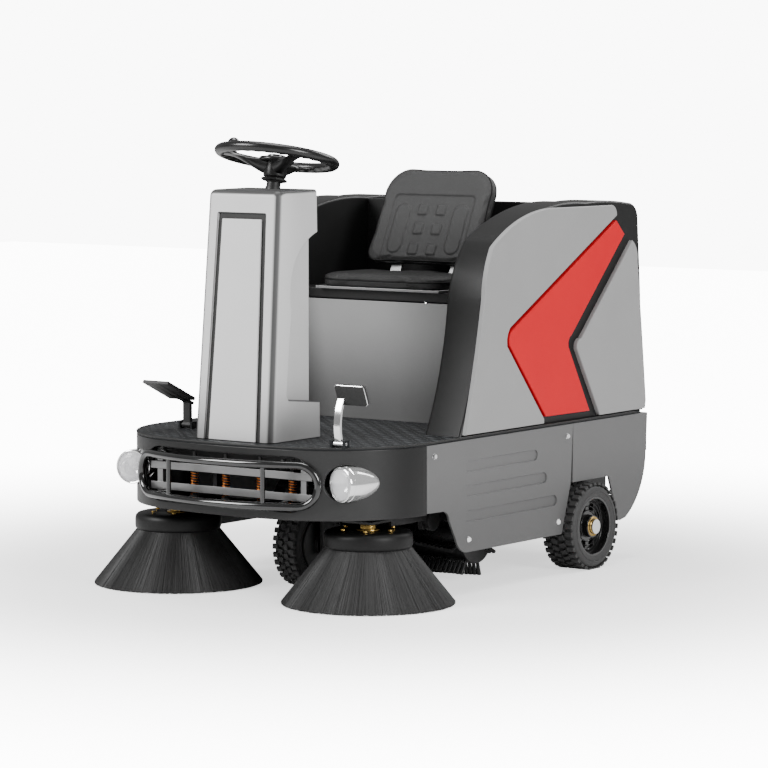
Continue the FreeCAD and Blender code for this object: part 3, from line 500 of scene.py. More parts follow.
def softened(node: str, width: float, rule: EdgeRule | None = None, steps: int = 3,
             move: Callable[[Vector], Vector] | None = None, angle: float = 28.0,
             name: str | None = None) -> bpy.types.Object:
    """Copy a frame node with its hard edges rounded over.

    Args:
        node: The node to copy.
        width: The widest rounding.
        rule: Gives the rounding of an edge from its middle and its direction.
        steps: Faces across a rounding.
        move: Shifts each corner before the edges are rounded.
        angle: Edges flatter than this, in degrees, are left alone.
        name: The piece's name, or None for the node's name with _form.

    Returns:
        The rounded copy.
    """
    piece = link(name or f"{node}_form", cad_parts[node].data.copy())
    work = bmesh.new()
    work.from_mesh(piece.data)
    bmesh.ops.remove_doubles(work, verts=work.verts, dist=2e-5)
    if move is not None:
        for corner in work.verts:
            corner.co = move(corner.co)
        bmesh.ops.remove_doubles(work, verts=work.verts, dist=2e-5)
    bmesh.ops.dissolve_degenerate(work, edges=work.edges, dist=2e-5)
    bmesh.ops.dissolve_limit(work, angle_limit=0.012, verts=work.verts, edges=work.edges)
    weight = work.edges.layers.float.new("bevel_weight_edge")
    for edge in work.edges:
        if len(edge.link_faces) != 2 or edge.calc_face_angle(0.0) < math.radians(angle):
            continue
        ends = [corner.co for corner in edge.verts]
        wanted = width
        if rule is not None:
            wanted = rule((ends[0] + ends[1]) / 2, (ends[1] - ends[0]).normalized())
        edge[weight] = min(1.0, wanted / width)
    work.to_mesh(piece.data)
    work.free()
    bevel = piece.modifiers.new("rounding", "BEVEL")
    bevel.limit_method = "WEIGHT"
    bevel.width = width
    bevel.segments = steps
    bevel.use_clamp_overlap = False
    bevel.miter_outer = "MITER_ARC"
    settle(piece)
    smooth(piece, 40.0)
    even = piece.modifiers.new("even_shading", "WEIGHTED_NORMAL")
    even.keep_sharp = True
    return settle(piece)


def dress(piece: bpy.types.Object, finish: Finish, body: str, slot: str,
          *nodes: str) -> bpy.types.Object:
    """Give a piece its finish and its body, and hide the frame nodes it stands for.

    Args:
        piece: The finished piece, in place.
        finish: Its surface finish.
        body: The body that it moves with.
        slot: A material slot name; not used.
        *nodes: The frame nodes that it replaces.

    Returns:
        The piece.
    """
    piece.data.materials.clear()
    piece.data.materials.append(finish.material())
    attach(piece, body)
    if nodes:
        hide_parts(*nodes)
    log.info("%s: %d faces on %s", piece.name, len(piece.data.polygons), body)
    return piece


def form(node: str, width: float, finish: Finish, body: str, slot: str,
         **how: object) -> None:
    """Replace a frame node by its softened, dressed copy.

    Args:
        node: The node.
        width: The widest rounding.
        finish: The surface finish.
        body: The body that it moves with.
        slot: A material slot name, handed on to dress.
        **how: The other arguments of softened.
    """
    dress(softened(node, width, **how), finish, body, slot, node)


def paint(node: str, finish: Finish) -> None:
    """Give a frame node that is kept its finish."""
    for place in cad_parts[node].material_slots:
        place.material = finish.material()
    log.info("%s: painted", node)


# ----------------------------------------------------------- geometry nodes
class Tree(Wiring):
    """A geometry node tree being built, with named inputs."""

    def __init__(self, name: str, inputs: dict[str, tuple[str, object]]) -> None:
        """Start a tree.

        Args:
            name: The tree's name.
            inputs: Each input's socket type and default, by name.
        """
        super().__init__(bpy.data.node_groups.new(name, "GeometryNodeTree"))
        face = self.group.interface
        face.new_socket("Geometry", in_out="INPUT", socket_type="NodeSocketGeometry")
        face.new_socket("Geometry", in_out="OUTPUT", socket_type="NodeSocketGeometry")
        for label, (kind, default) in inputs.items():
            socket = face.new_socket(label, in_out="INPUT", socket_type=f"NodeSocket{kind}")
            if default is not None:
                socket.default_value = default
        self.start = self.group.nodes.new("NodeGroupInput")
        self.end = self.group.nodes.new("NodeGroupOutput")

    def input(self, label: str) -> bpy.types.NodeSocket:
        """Return the socket that carries a named input."""
        return self.start.outputs[label]

    def vector(self, across: object, along: object, up: object) -> bpy.types.NodeSocket:
        """Join three numbers into a vector."""
        return self.add("ShaderNodeCombineXYZ", None, n0=across, n1=along, n2=up).outputs[0]

    def finish(self, geometry: bpy.types.NodeSocket) -> bpy.types.NodeTree:
        """Realise the instances, set the material and close the tree."""
        real = self.add("RealizeInstances", None, Geometry=geometry)
        dressed = self.add("SetMaterial", None, Geometry=real.outputs[0],
                           Material=self.input("Material"))
        self.group.links.new(dressed.outputs[0], self.end.inputs[0])
        return self.group


def grow(name: str, tree: bpy.types.NodeTree, values: dict[str, object],
         host: bpy.types.Mesh | None = None, sharp: float = 38.0) -> bpy.types.Object:
    """Run a tree on a host mesh and keep the result as plain mesh.

    Args:
        name: The piece's name.
        tree: The geometry node tree.
        values: Its inputs, by name.
        host: The mesh it runs on, or None for an empty one.
        sharp: The angle in degrees past which an edge stays crisp.

    Returns:
        The grown piece.
    """
    piece = link(name, host or bpy.data.meshes.new(name))
    nodes = piece.modifiers.new("grown", "NODES")
    nodes.node_group = tree
    for item in tree.interface.items_tree:
        if item.item_type == "SOCKET" and item.in_out == "INPUT" and item.name in values:
            nodes[item.identifier] = values[item.name]
    settle(piece)
    return smooth(piece, sharp)


def stamp_tree() -> bpy.types.NodeTree:
    """Tapered blocks on the host's points, turned and stretched by its attributes."""
    tree = Tree("stamps", {
        "Sides": ("Int", 4), "Top": ("Float", 0.4), "Foot": ("Float", 0.5),
        "Material": ("Material", None)})
    block = tree.add("MeshCone", None, Vertices=tree.input("Sides"),
                     Radius_Top=tree.input("Top"), Radius_Bottom=tree.input("Foot"), Depth=1.0)
    turn = tree.add("InputNamedAttribute", {"data_type": "FLOAT_VECTOR"}, Name="turn")
    stretch = tree.add("InputNamedAttribute", {"data_type": "FLOAT_VECTOR"}, Name="stretch")
    spots = tree.add("MeshToPoints", None, Mesh=tree.input("Geometry"))
    placed = tree.add("InstanceOnPoints", None, Points=spots.outputs[0],
                      Instance=block.outputs[0], Rotation=turn.outputs[0],
                      Scale=stretch.outputs[0])
    return tree.finish(placed.outputs[0])


def bristle_tree() -> bpy.types.NodeTree:
    """Straight bristles spreading from a ring to a wider ring on the floor."""
    tree = Tree("bristles", {
        "Count": ("Int", 1500), "Seed": ("Int", 3), "Neck": ("Float", 0.12),
        "Foot": ("Float", 0.25), "Height": ("Float", 0.16), "Thickness": ("Float", 0.0009),
        "Depth": ("Float", 0.01), "Stray": ("Float", 0.02), "Material": ("Material", None)})
    number = tree.add("InputIndex").outputs[0]

    def chance(low: float, high: float, offset: int) -> bpy.types.NodeSocket:
        seed = tree.math("ADD", tree.input("Seed"), float(offset))
        node = tree.add("FunctionNodeRandomValue", {"data_type": "FLOAT"}, ID=number, Seed=seed)
        node.inputs[2].default_value = low
        node.inputs[3].default_value = high
        return node.outputs[1]

    share = tree.math("DIVIDE", number, tree.input("Count"))
    angle = tree.math("ADD", tree.math("MULTIPLY", share, TURN), chance(-0.02, 0.02, 1))
    inward = tree.math("MULTIPLY", chance(0.0, 1.0, 2), tree.input("Depth"))
    neck = tree.math("SUBTRACT", tree.input("Neck"), inward)
    foot = tree.math("SUBTRACT", tree.input("Foot"), inward)
    lean = tree.math("ADD", angle, tree.math("MULTIPLY", chance(-1.0, 1.0, 4),
                                             tree.input("Stray")))
    start = tree.vector(tree.math("MULTIPLY", neck, tree.math("COSINE", angle)),
                        tree.math("MULTIPLY", neck, tree.math("SINE", angle)),
                        tree.input("Height"))
    stop = tree.vector(tree.math("MULTIPLY", foot, tree.math("COSINE", lean)),
                       tree.math("MULTIPLY", foot, tree.math("SINE", lean)),
                       chance(0.0005, 0.005, 6))
    along = tree.add("ShaderNodeVectorMath", {"operation": "SUBTRACT"}, n0=stop, n1=start)
    length = tree.add("ShaderNodeVectorMath", {"operation": "LENGTH"}, n0=along.outputs[0])
    middle = tree.add("ShaderNodeVectorMath", {"operation": "ADD"}, n0=stop, n1=start)
    half = tree.add("ShaderNodeVectorMath", {"operation": "SCALE"}, n0=middle.outputs[0])
    half.inputs["Scale"].default_value = 0.5
    spots = tree.add("Points", None, Count=tree.input("Count"), Position=half.outputs[0])
    turn = tree.add("FunctionNodeAlignRotationToVector", {"axis": "Z"},
                    Vector=along.outputs[0])
    strand = tree.add("MeshCylinder", {"fill_type": "TRIANGLE_FAN"}, Vertices=5,
                      Radius=tree.input("Thickness"), Depth=1.0)
    stretch = tree.vector(1.0, 1.0, length.outputs["Value"])
    placed = tree.add("InstanceOnPoints", None, Points=spots.outputs[0],
                      Instance=strand.outputs[0], Rotation=turn.outputs[0], Scale=stretch)
    return tree.finish(placed.outputs[0])


def coil_tree() -> bpy.types.NodeTree:
    """A coil spring standing on the floor of its own space."""
    tree = Tree("coil", {
        "Turns": ("Float", 9.0), "Radius": ("Float", 0.01), "Wire": ("Float", 0.0016),
        "Height": ("Float", 0.05), "Material": ("Material", None)})
    helix = tree.add("CurveSpiral", None, Resolution=20, Rotations=tree.input("Turns"),
                     Start_Radius=tree.input("Radius"), End_Radius=tree.input("Radius"),
                     Height=tree.input("Height"))
    ring = tree.add("CurvePrimitiveCircle", None, Resolution=7)
    tree.group.links.new(tree.input("Wire"), ring.inputs["Radius"])
    wire = tree.add("CurveToMesh", None, Curve=helix.outputs[0],
                    Profile_Curve=ring.outputs[0], Fill_Caps=True)
    return tree.finish(wire.outputs[0])


def block_ring_tree() -> bpy.types.NodeTree:
    """Tread blocks round a wheel that turns about the X axis."""
    tree = Tree("block_ring", {
        "Count": ("Int", 30), "Radius": ("Float", 0.12), "Offset": ("Float", 0.0),
        "Phase": ("Float", 0.0), "Skew": ("Float", 0.0), "Size": ("Vector", (0.03, 0.02, 0.01)),
        "Taper": ("Float", 0.78), "Material": ("Material", None)})
    number = tree.add("InputIndex").outputs[0]
    step = tree.math("DIVIDE", tree.math("ADD", number, tree.input("Phase")),
                     tree.input("Count"))
    angle = tree.math("MULTIPLY", step, TURN)
    spot = tree.vector(tree.input("Offset"),
                       tree.math("MULTIPLY", tree.input("Radius"), tree.math("COSINE", angle)),
                       tree.math("MULTIPLY", tree.input("Radius"), tree.math("SINE", angle)))
    spots = tree.add("Points", None, Count=tree.input("Count"), Position=spot)
    top = tree.math("MULTIPLY", tree.input("Taper"), math.sqrt(0.5))
    block = tree.add("MeshCone", None, Vertices=4, Radius_Top=top,
                     Radius_Bottom=math.sqrt(0.5), Depth=1.0)
    square = tree.add("Transform", None, Geometry=block.outputs[0],
                      Rotation=(0.0, 0.0, math.pi / 4))
    sized = tree.add("Transform", None, Geometry=square.outputs[0], Scale=tree.input("Size"))
    skewed = tree.add("Transform", None, Geometry=sized.outputs[0],
                      Rotation=tree.vector(0.0, 0.0, tree.input("Skew")))
    turn = tree.vector(tree.math("SUBTRACT", angle, math.pi / 2), 0.0, 0.0)
    placed = tree.add("InstanceOnPoints", None, Points=spots.outputs[0],
                      Instance=skewed.outputs[0], Rotation=turn)
    return tree.finish(placed.outputs[0])


def lug_tree() -> bpy.types.NodeTree:
    """Raised lugs on the middle of every face, turned one way and the other."""
    tree = Tree("lugs", {
        "Pitch": ("Float", 0.03), "Size": ("Vector", (0.024, 0.007, 0.0015)),
        "Angle": ("Float", math.pi / 4), "Material": ("Material", None)})
    spots = tree.add("MeshToPoints", {"mode": "FACES"}, Mesh=tree.input("Geometry"))
    where = tree.add("ShaderNodeSeparateXYZ", None,
                     Vector=tree.add("InputPosition").outputs[0])
    column = tree.math("FLOOR", tree.math("DIVIDE", where.outputs[0], tree.input("Pitch")))
    row = tree.math("FLOOR", tree.math("DIVIDE", where.outputs[1], tree.input("Pitch")))
    odd = tree.math("FLOORED_MODULO", tree.math("ADD", column, row), 2.0)
    sign = tree.math("SUBTRACT", tree.math("MULTIPLY", odd, 2.0), 1.0)
    turn = tree.vector(0.0, 0.0, tree.math("MULTIPLY", sign, tree.input("Angle")))
    bead = tree.add("MeshUVSphere", None, Segments=8, Rings=6, Radius=0.5)
    sized = tree.add("Transform", None, Geometry=bead.outputs[0],
                     Scale=tree.input("Size"))
    placed = tree.add("InstanceOnPoints", None, Points=spots.outputs[0],
                      Instance=sized.outputs[0], Rotation=turn)
    return tree.finish(placed.outputs[0])


@dataclass
class Stamp:
    """One place in a field of stamps."""

    spot: Point
    turn: Point = (0.0, 0.0, 0.0)
    stretch: Point = (1.0, 1.0, 1.0)


def stamped(name: str, stamps: Sequence[Stamp], sides: int, top: float, foot: float,
            finish: Finish) -> bpy.types.Object:
    """Grow tapered blocks, heads or pleats at a list of places.

    Args:
        name: The piece's name.
        stamps: The places.
        sides: Sides of each block.
        top: The top's radius before stretching.
        foot: The foot's radius before stretching.
        finish: The blocks' finish.

    Returns:
        The grown piece.
    """
    host = bpy.data.meshes.new(name)
    host.from_pydata([stamp.spot for stamp in stamps], [], [])
    for label in ("turn", "stretch"):
        layer = host.attributes.new(label, "FLOAT_VECTOR", "POINT")
        for number, stamp in enumerate(stamps):
            layer.data[number].vector = getattr(stamp, label)
    return grow(name, TREES["stamps"], {
        "Sides": sides, "Top": top, "Foot": foot, "Material": finish.material()}, host)


TREES: dict[str, bpy.types.NodeTree] = {}


def make_trees() -> None:
    """Build every geometry node tree once."""
    for build in (stamp_tree, bristle_tree, coil_tree, block_ring_tree, lug_tree):
        made = build()
        TREES[made.name] = made


# --------------------------------------------------------------------- nose
def nose_edge(across: float) -> float:
    """Return how far forward the rounded nose reaches at a distance from the middle."""
    across = abs(across)
    if across < 0.2228:
        return 0.443 - math.sqrt(1.2 ** 2 - across ** 2)
    return -0.4197 - math.sqrt(max(0.0, 0.322 ** 2 - (across - 0.163) ** 2))


@dataclass
class Nose:
    """The black band, its slats, the lamps, the guard and what shows in the slot."""

    edge: float = 0.003
    lamp_x: float = 0.378
    lamp_y: float = -0.690
    lamp_z: float = 0.357
    lamp_splay: float = 15.0
    guard_radius: float = 0.011
    guard_bow: float = 0.639
    guard_half: float = 0.266
    guard_low: float = 0.291
    guard_high: float = 0.409
    guard_centre: float = -0.156
    bar_x: float = 0.170
    stay_x: float = 0.215
    spring_y: float = -0.672
    spring_low: float = 0.262
    spring_places: tuple[float, ...] = (-0.155, -0.04, 0.085, 0.2)

    def build(self) -> None:
        """Make every piece of the nose."""
        form("front_band", self.edge, BAND, "chassis", "band_black")
        form("grille_slats", 0.0012, SILVER, "chassis", "seat_silver")
        self._lamps()
        self._guard()
        self._springs()

    def _lamps(self) -> None:
        """Chrome bullet housings with a groove, a reflector, a bulb and a domed lens."""
        shells, lenses, cores = [], [], []
        body = [(0.0, 0.1480), (0.0080, 0.1470), (0.0160, 0.1430), (0.0240, 0.1340),
                (0.0330, 0.1160), (0.0410, 0.0920), (0.0470, 0.0660), (0.0496, 0.0420),
                (0.0500, 0.0300), (0.0500, 0.0205), (0.0482, 0.0195), (0.0482, 0.0165),
                (0.0500, 0.0155), (0.0500, 0.0060), (0.0490, 0.0030), (0.0470, 0.0018),
                (0.0448, 0.0030), (0.0440, 0.0070), (0.0400, 0.0160), (0.0310, 0.0270),
                (0.0200, 0.0350), (0.0100, 0.0390), (0.0, 0.0400)]
        dome = [(0.0, -0.0060), (0.0120, -0.0054), (0.0240, -0.0036), (0.0340, -0.0008),
                (0.0410, 0.0026), (0.0440, 0.0056), (0.0440, 0.0076), (0.0400, 0.0052),
                (0.0330, 0.0016), (0.0230, -0.0014), (0.0120, -0.0031), (0.0, -0.0037)]
        bulb = [(0.0, 0.0180), (0.0050, 0.0190), (0.0080, 0.0230), (0.0085, 0.0280),
                (0.0065, 0.0330), (0.0065, 0.0395), (0.0, 0.0395)]
        for name, side in SIDES.items():
            place = Matrix.Translation((side * self.lamp_x, self.lamp_y, self.lamp_z))
            place @= Matrix.Rotation(-side * math.radians(self.lamp_splay), 4, "Z")
            for made, label, profile, steps in ((shells, "shell", body, 56),
                                                (lenses, "dome", dome, 48),
                                                (cores, "bulb", bulb, 20)):
                made.append(lathe(f"{name}_{label}", profile, (0, 0, 0), "Y", steps, place))
        dress(join("headlight_shells", shells), LAMP, "chassis", "lamp_chrome",
              "headlight_housings")
        dress(join("headlight_domes", lenses), GLASS, "chassis", "lamp_glass",
              "headlight_lenses")
        dress(join("headlight_bulbs", cores), CHROME, "chassis", "bright_steel")

    def _bow(self, across: float) -> float:
        """Return the guard's y at a distance from the middle."""
        return self.guard_centre - math.sqrt(self.guard_bow ** 2 - across ** 2)

    def _guard(self) -> None:
        """A bowed oval tube on four stays, with two uprights."""
        middle = (self.guard_low + self.guard_high) / 2
        radius = (self.guard_high - self.guard_low) / 2
        slope = math.asin(self.guard_half / self.guard_bow)
        path = []
        for side, levels in ((1, (1, -1)), (-1, (-1, 1))):
            start = -side * self.guard_half
            for k in range(24):
                x = start + 2 * side * self.guard_half * k / 24
                path.append(Vector((x, self._bow(x), middle + levels[0] * radius)))
            for k in range(14):
                angle = math.pi / 2 * levels[0] * (1 - 2 * k / 14)
                out = radius * math.cos(angle)
                path.append(Vector((side * (self.guard_half + out * math.cos(slope)),
                                    self._bow(self.guard_half) + out * math.sin(slope),
                                    middle + radius * math.sin(angle))))
        ring = tube("guard_ring", path, self.guard_radius, loop=True, steps=24)
        stays, flanges = [ring], []
        for side in SIDES.values():
            for level in (self.guard_low, self.guard_high):
                x = side * self.stay_x
                front, back = self._bow(x), nose_edge(x)
                stays.append(tube("stay", [Vector((x, front, level)),
                                           Vector((x, back + 0.004, level))], 0.008))
                flange = [(0.0, 0.006), (0.014, 0.006), (0.014, -0.0035), (0.0125, -0.0050),
                          (0.0, -0.0050)]
                flanges.append(lathe("flange", flange, (x, back, level), "Y", 32))
        bars = [tube("bar", [Vector((side * self.bar_x, self._bow(self.bar_x), level))
                             for level in (self.guard_low, self.guard_high)], 0.007)
                for side in SIDES.values()]
        dress(join("guard_tube", stays + bars), GLOSS, "chassis", "guard_gloss",
              "bumper_guard")
        dress(join("guard_flanges", flanges), GLOSS, "chassis", "guard_gloss")

    def _springs(self) -> None:
        """Copper springs on bosses behind the slats."""
        coils, bosses = [], []
        for x in self.spring_places:
            coil = grow("coil", TREES["coil"], {
                "Turns": 9.0, "Radius": 0.0105, "Wire": 0.0017, "Height": 0.07,
                "Material": COPPER.material()})
            coil.data.transform(Matrix.Translation((x, self.spring_y, self.spring_low + 0.028)))
            coils.append(coil)
            rod = [(0.0, -0.004), (0.014, -0.004), (0.014, 0.024), (0.0105, 0.028),
                   (0.0060, 0.028), (0.0060, 0.150), (0.0, 0.150)]
            bosses.append(lathe("boss", rod, (x, self.spring_y, self.spring_low + 0.004), "Z",
                                24))
        dress(join("brush_springs", coils), COPPER, "chassis", "bright_steel")
        dress(join("spring_bosses", bosses), MACHINE, "chassis", "machine_black")


# ------------------------------------------------------------------ chassis
@dataclass
class Chassis:
    """Frame, tread deck, side covers with their bolts, and the rear skirt."""

    pitch: float = 0.030
    deck_top: float = 0.457
    rim_gap: float = 0.016
    half: float = 0.485
    trim_x: float = 0.4835
    trim_front: float = -0.7555
    trim_ends: Point = (0.70, 0.2, -0.2)
    louvre_start: float = -0.227
    louvre_slope: float = 0.0070

    def build(self) -> None:
        """Make every piece of the chassis."""
        for node in ("chassis_frame", "brush_hood", "lower_shaft", "steering_chain"):
            paint(node, FRAME)
        self._deck()
        for name in SIDES:
            form(f"{name}_side_cover", 0.0016, COVER, "chassis", "cover_grey", move=self._scoop)
        form("rear_skirt", 0.0018, COVER, "chassis", "cover_grey")
        self._bolts()

    def _scoop(self, corner: Vector) -> Vector:
        """Sink a louvre's floor more and more towards the rear."""
        if 0.4812 < abs(corner.x) < 0.4828:
            depth = (corner.y - self.louvre_start) * self.louvre_slope
            corner.x -= math.copysign(depth, corner.x)
        return corner

    def _level(self, corner: Vector) -> Vector:
        """Bring the raised tread field down to the sheet, under its lugs."""
        if self.deck_top < corner.z < self.deck_top + 0.003:
            corner.z = self.deck_top
        return corner

    def _deck(self) -> None:
        """The deck sheet, its raised lugs and the black strip round its edge."""
        form("deck_plate", 0.0012, TREAD, "chassis", "tread_plate", move=self._level)
        host = bpy.data.meshes.new("deck_cells")
        points, faces = [], []
        reach = self.pitch / 2 * 0.2
        for column in range(-16, 16):
            for row in range(-26, 2):
                x, y = (column + 0.5) * self.pitch, (row + 0.5) * self.pitch
                if not self._open(x, y):
                    continue
                first = len(points)
                points += [(x + dx * reach, y + dy * reach, self.deck_top)
                           for dx, dy in ((-1, -1), (1, -1), (1, 1), (-1, 1))]
                faces.append((first, first + 1, first + 2, first + 3))
        host.from_pydata(points, [], faces)
        lugs = grow("deck_lugs", TREES["lugs"], {
            "Pitch": self.pitch, "Size": (0.027, 0.0075, 0.0032), "Angle": math.pi / 4,
            "Material": LUG.material()}, host)
        dress(lugs, LUG, "chassis", "tread_plate")
        steps, level = 90, self.deck_top - 0.001
        path = [Vector((self.trim_x, y, level)) for y in self.trim_ends]
        for k in range(steps + 1):
            x = self.trim_x * math.cos(math.pi * k / steps)
            ahead = nose_edge(x / self.trim_x * self.half) + 0.0015
            path.append(Vector((x, max(ahead, self.trim_front), level)))
        path += [Vector((-self.trim_x, y, level)) for y in reversed(self.trim_ends)]
        trim = tube("deck_trim", path, 0.0028, steps=10)
        dress(trim, RUBBER, "chassis", "rubber_black")

    def _open(self, x: float, y: float) -> bool:
        """Tell whether a lug centred here is on the open floor."""
        if abs(x) > self.half - self.rim_gap or y < nose_edge(x) + self.rim_gap:
            return False
        if abs(x) < 0.152 and -0.712 < y < -0.448:
            return False
        return y < (0.02 if abs(x) < 0.335 else -0.245)

    def _bolts(self) -> None:
        """Domed hexagon bolts with washers, standing on each side cover."""
        places = ((-0.383, 0.416), (0.313, 0.414), (-0.211, 0.160), (0.265, 0.160))
        heads, washers = [], []
        for side in SIDES.values():
            for number, (y, z) in enumerate(places):
                turn = (0.35 * number, side * math.pi / 2, 0.0)
                heads.append(Stamp((side * 0.4878, y, z), turn, (0.0152, 0.0152, 0.0036)))
                washers.append(Stamp((side * 0.4855, y, z), turn, (0.0176, 0.0176, 0.0014)))
        dress(stamped("bolt_heads", heads, 6, 0.46, 0.5, CHROME), CHROME, "chassis",
              "bright_steel", "cover_bolts")
        dress(stamped("bolt_washers", washers, 28, 0.47, 0.5, CHROME), CHROME, "chassis",
              "bright_steel")


# --------------------------------------------------------------- body shell
@dataclass
class Body:
    """Fenders, side panels, rear cover, door, seat box and what is inside."""

    fender_edge: float = 0.009
    panel_edge: float = 0.0035

    def build(self) -> None:
        """Make every piece of the body shell."""
        for name in SIDES:
            form(f"{name}_fender", self.fender_edge, FENDER, "chassis", "fender_dark",
                 rule=self._fender_rule, steps=5)
            for use, finish, slot in (("front_panel", PANEL, "body_grey"),
                                      ("stripe", RED, "stripe_red"),
                                      ("rear_panel", PANEL, "body_grey")):
                form(f"{name}_{use}", self.panel_edge, finish, "chassis", slot,
                     rule=self._panel_rule)
        form("rear_top_cover", 0.0025, FENDER, "chassis", "fender_dark")
        form("rear_door", 0.002, PANEL, "door", "body_grey")
        form("seat_box_panel", 0.001, SEAT_BOX, "chassis", "seat_silver")
        paint("battery_pack", BATTERY)
        paint("dust_filter", PAPER)
        paint("vacuum_fan", MACHINE)
        form("hopper", 0.0022, HOPPER, "hopper_tray", "hopper_black")

    def _fender_rule(self, middle: Vector, along: Vector) -> float:
        """Round only the fender's outer skin."""
        across = abs(middle.x)
        if middle.z < 0.459 or 0.3455 < across < 0.4705:
            return 0.0
        return self.fender_edge if abs(along.x) < 0.5 else 0.0

    def _panel_rule(self, middle: Vector, along: Vector) -> float:
        """Round only the panel's outer face."""
        return self.panel_edge if abs(middle.x) > 0.4845 else 0.0


# ----------------------------------------------------------- steering tower
@dataclass
class Tower:
    """The steering tower with its inset front panel."""

    top: float = 1.170
    crown: float = 0.018

    def build(self) -> None:
        """Make the shell and the panel."""
        form("tower_shell", self.crown, TOWER, "chassis", "tower_grey", rule=self._rule, steps=5)
        form("tower_front_panel", 0.0025, FACE, "chassis", "tower_grey")
        # painted shade: a dark sheet in the groove round the front panel
        self._groove_shade()

    def _groove_shade(self) -> None:
        """A dark sheet on the floor of the groove round the front panel: painted shade for the
        recess.
        """
        slope = math.atan2(0.057, 0.713)
        place = Matrix.Translation((0.0, -0.697, 0.457)) @ Matrix.Rotation(-slope, 4, "X")
        outline = [(-0.0995, 0.002), (0.0995, 0.002), (0.0856, 0.6492), (-0.0856, 0.6492)]
        shade_sheet = slab("tower_groove_shade_sheet", outline, 0.0066, 0.0078, True)
        shade_sheet.data.transform(place)
        dress(shade_sheet, GROOVE_SHADE, "chassis", "rubber_black")

    def _rule(self, middle: Vector, along: Vector) -> float:
        """Round the crown widely and the other edges a little."""
        if middle.z > self.top - 0.0005:
            if abs(middle.x) < 0.035 and middle.y > -0.545:
                return 0.002
            return self.crown if middle.y < -0.60 else 0.012
        if abs(along.z) > 0.9 and middle.y > -0.4605 and abs(middle.x) > 0.12:
            return 0.006
        return 0.003


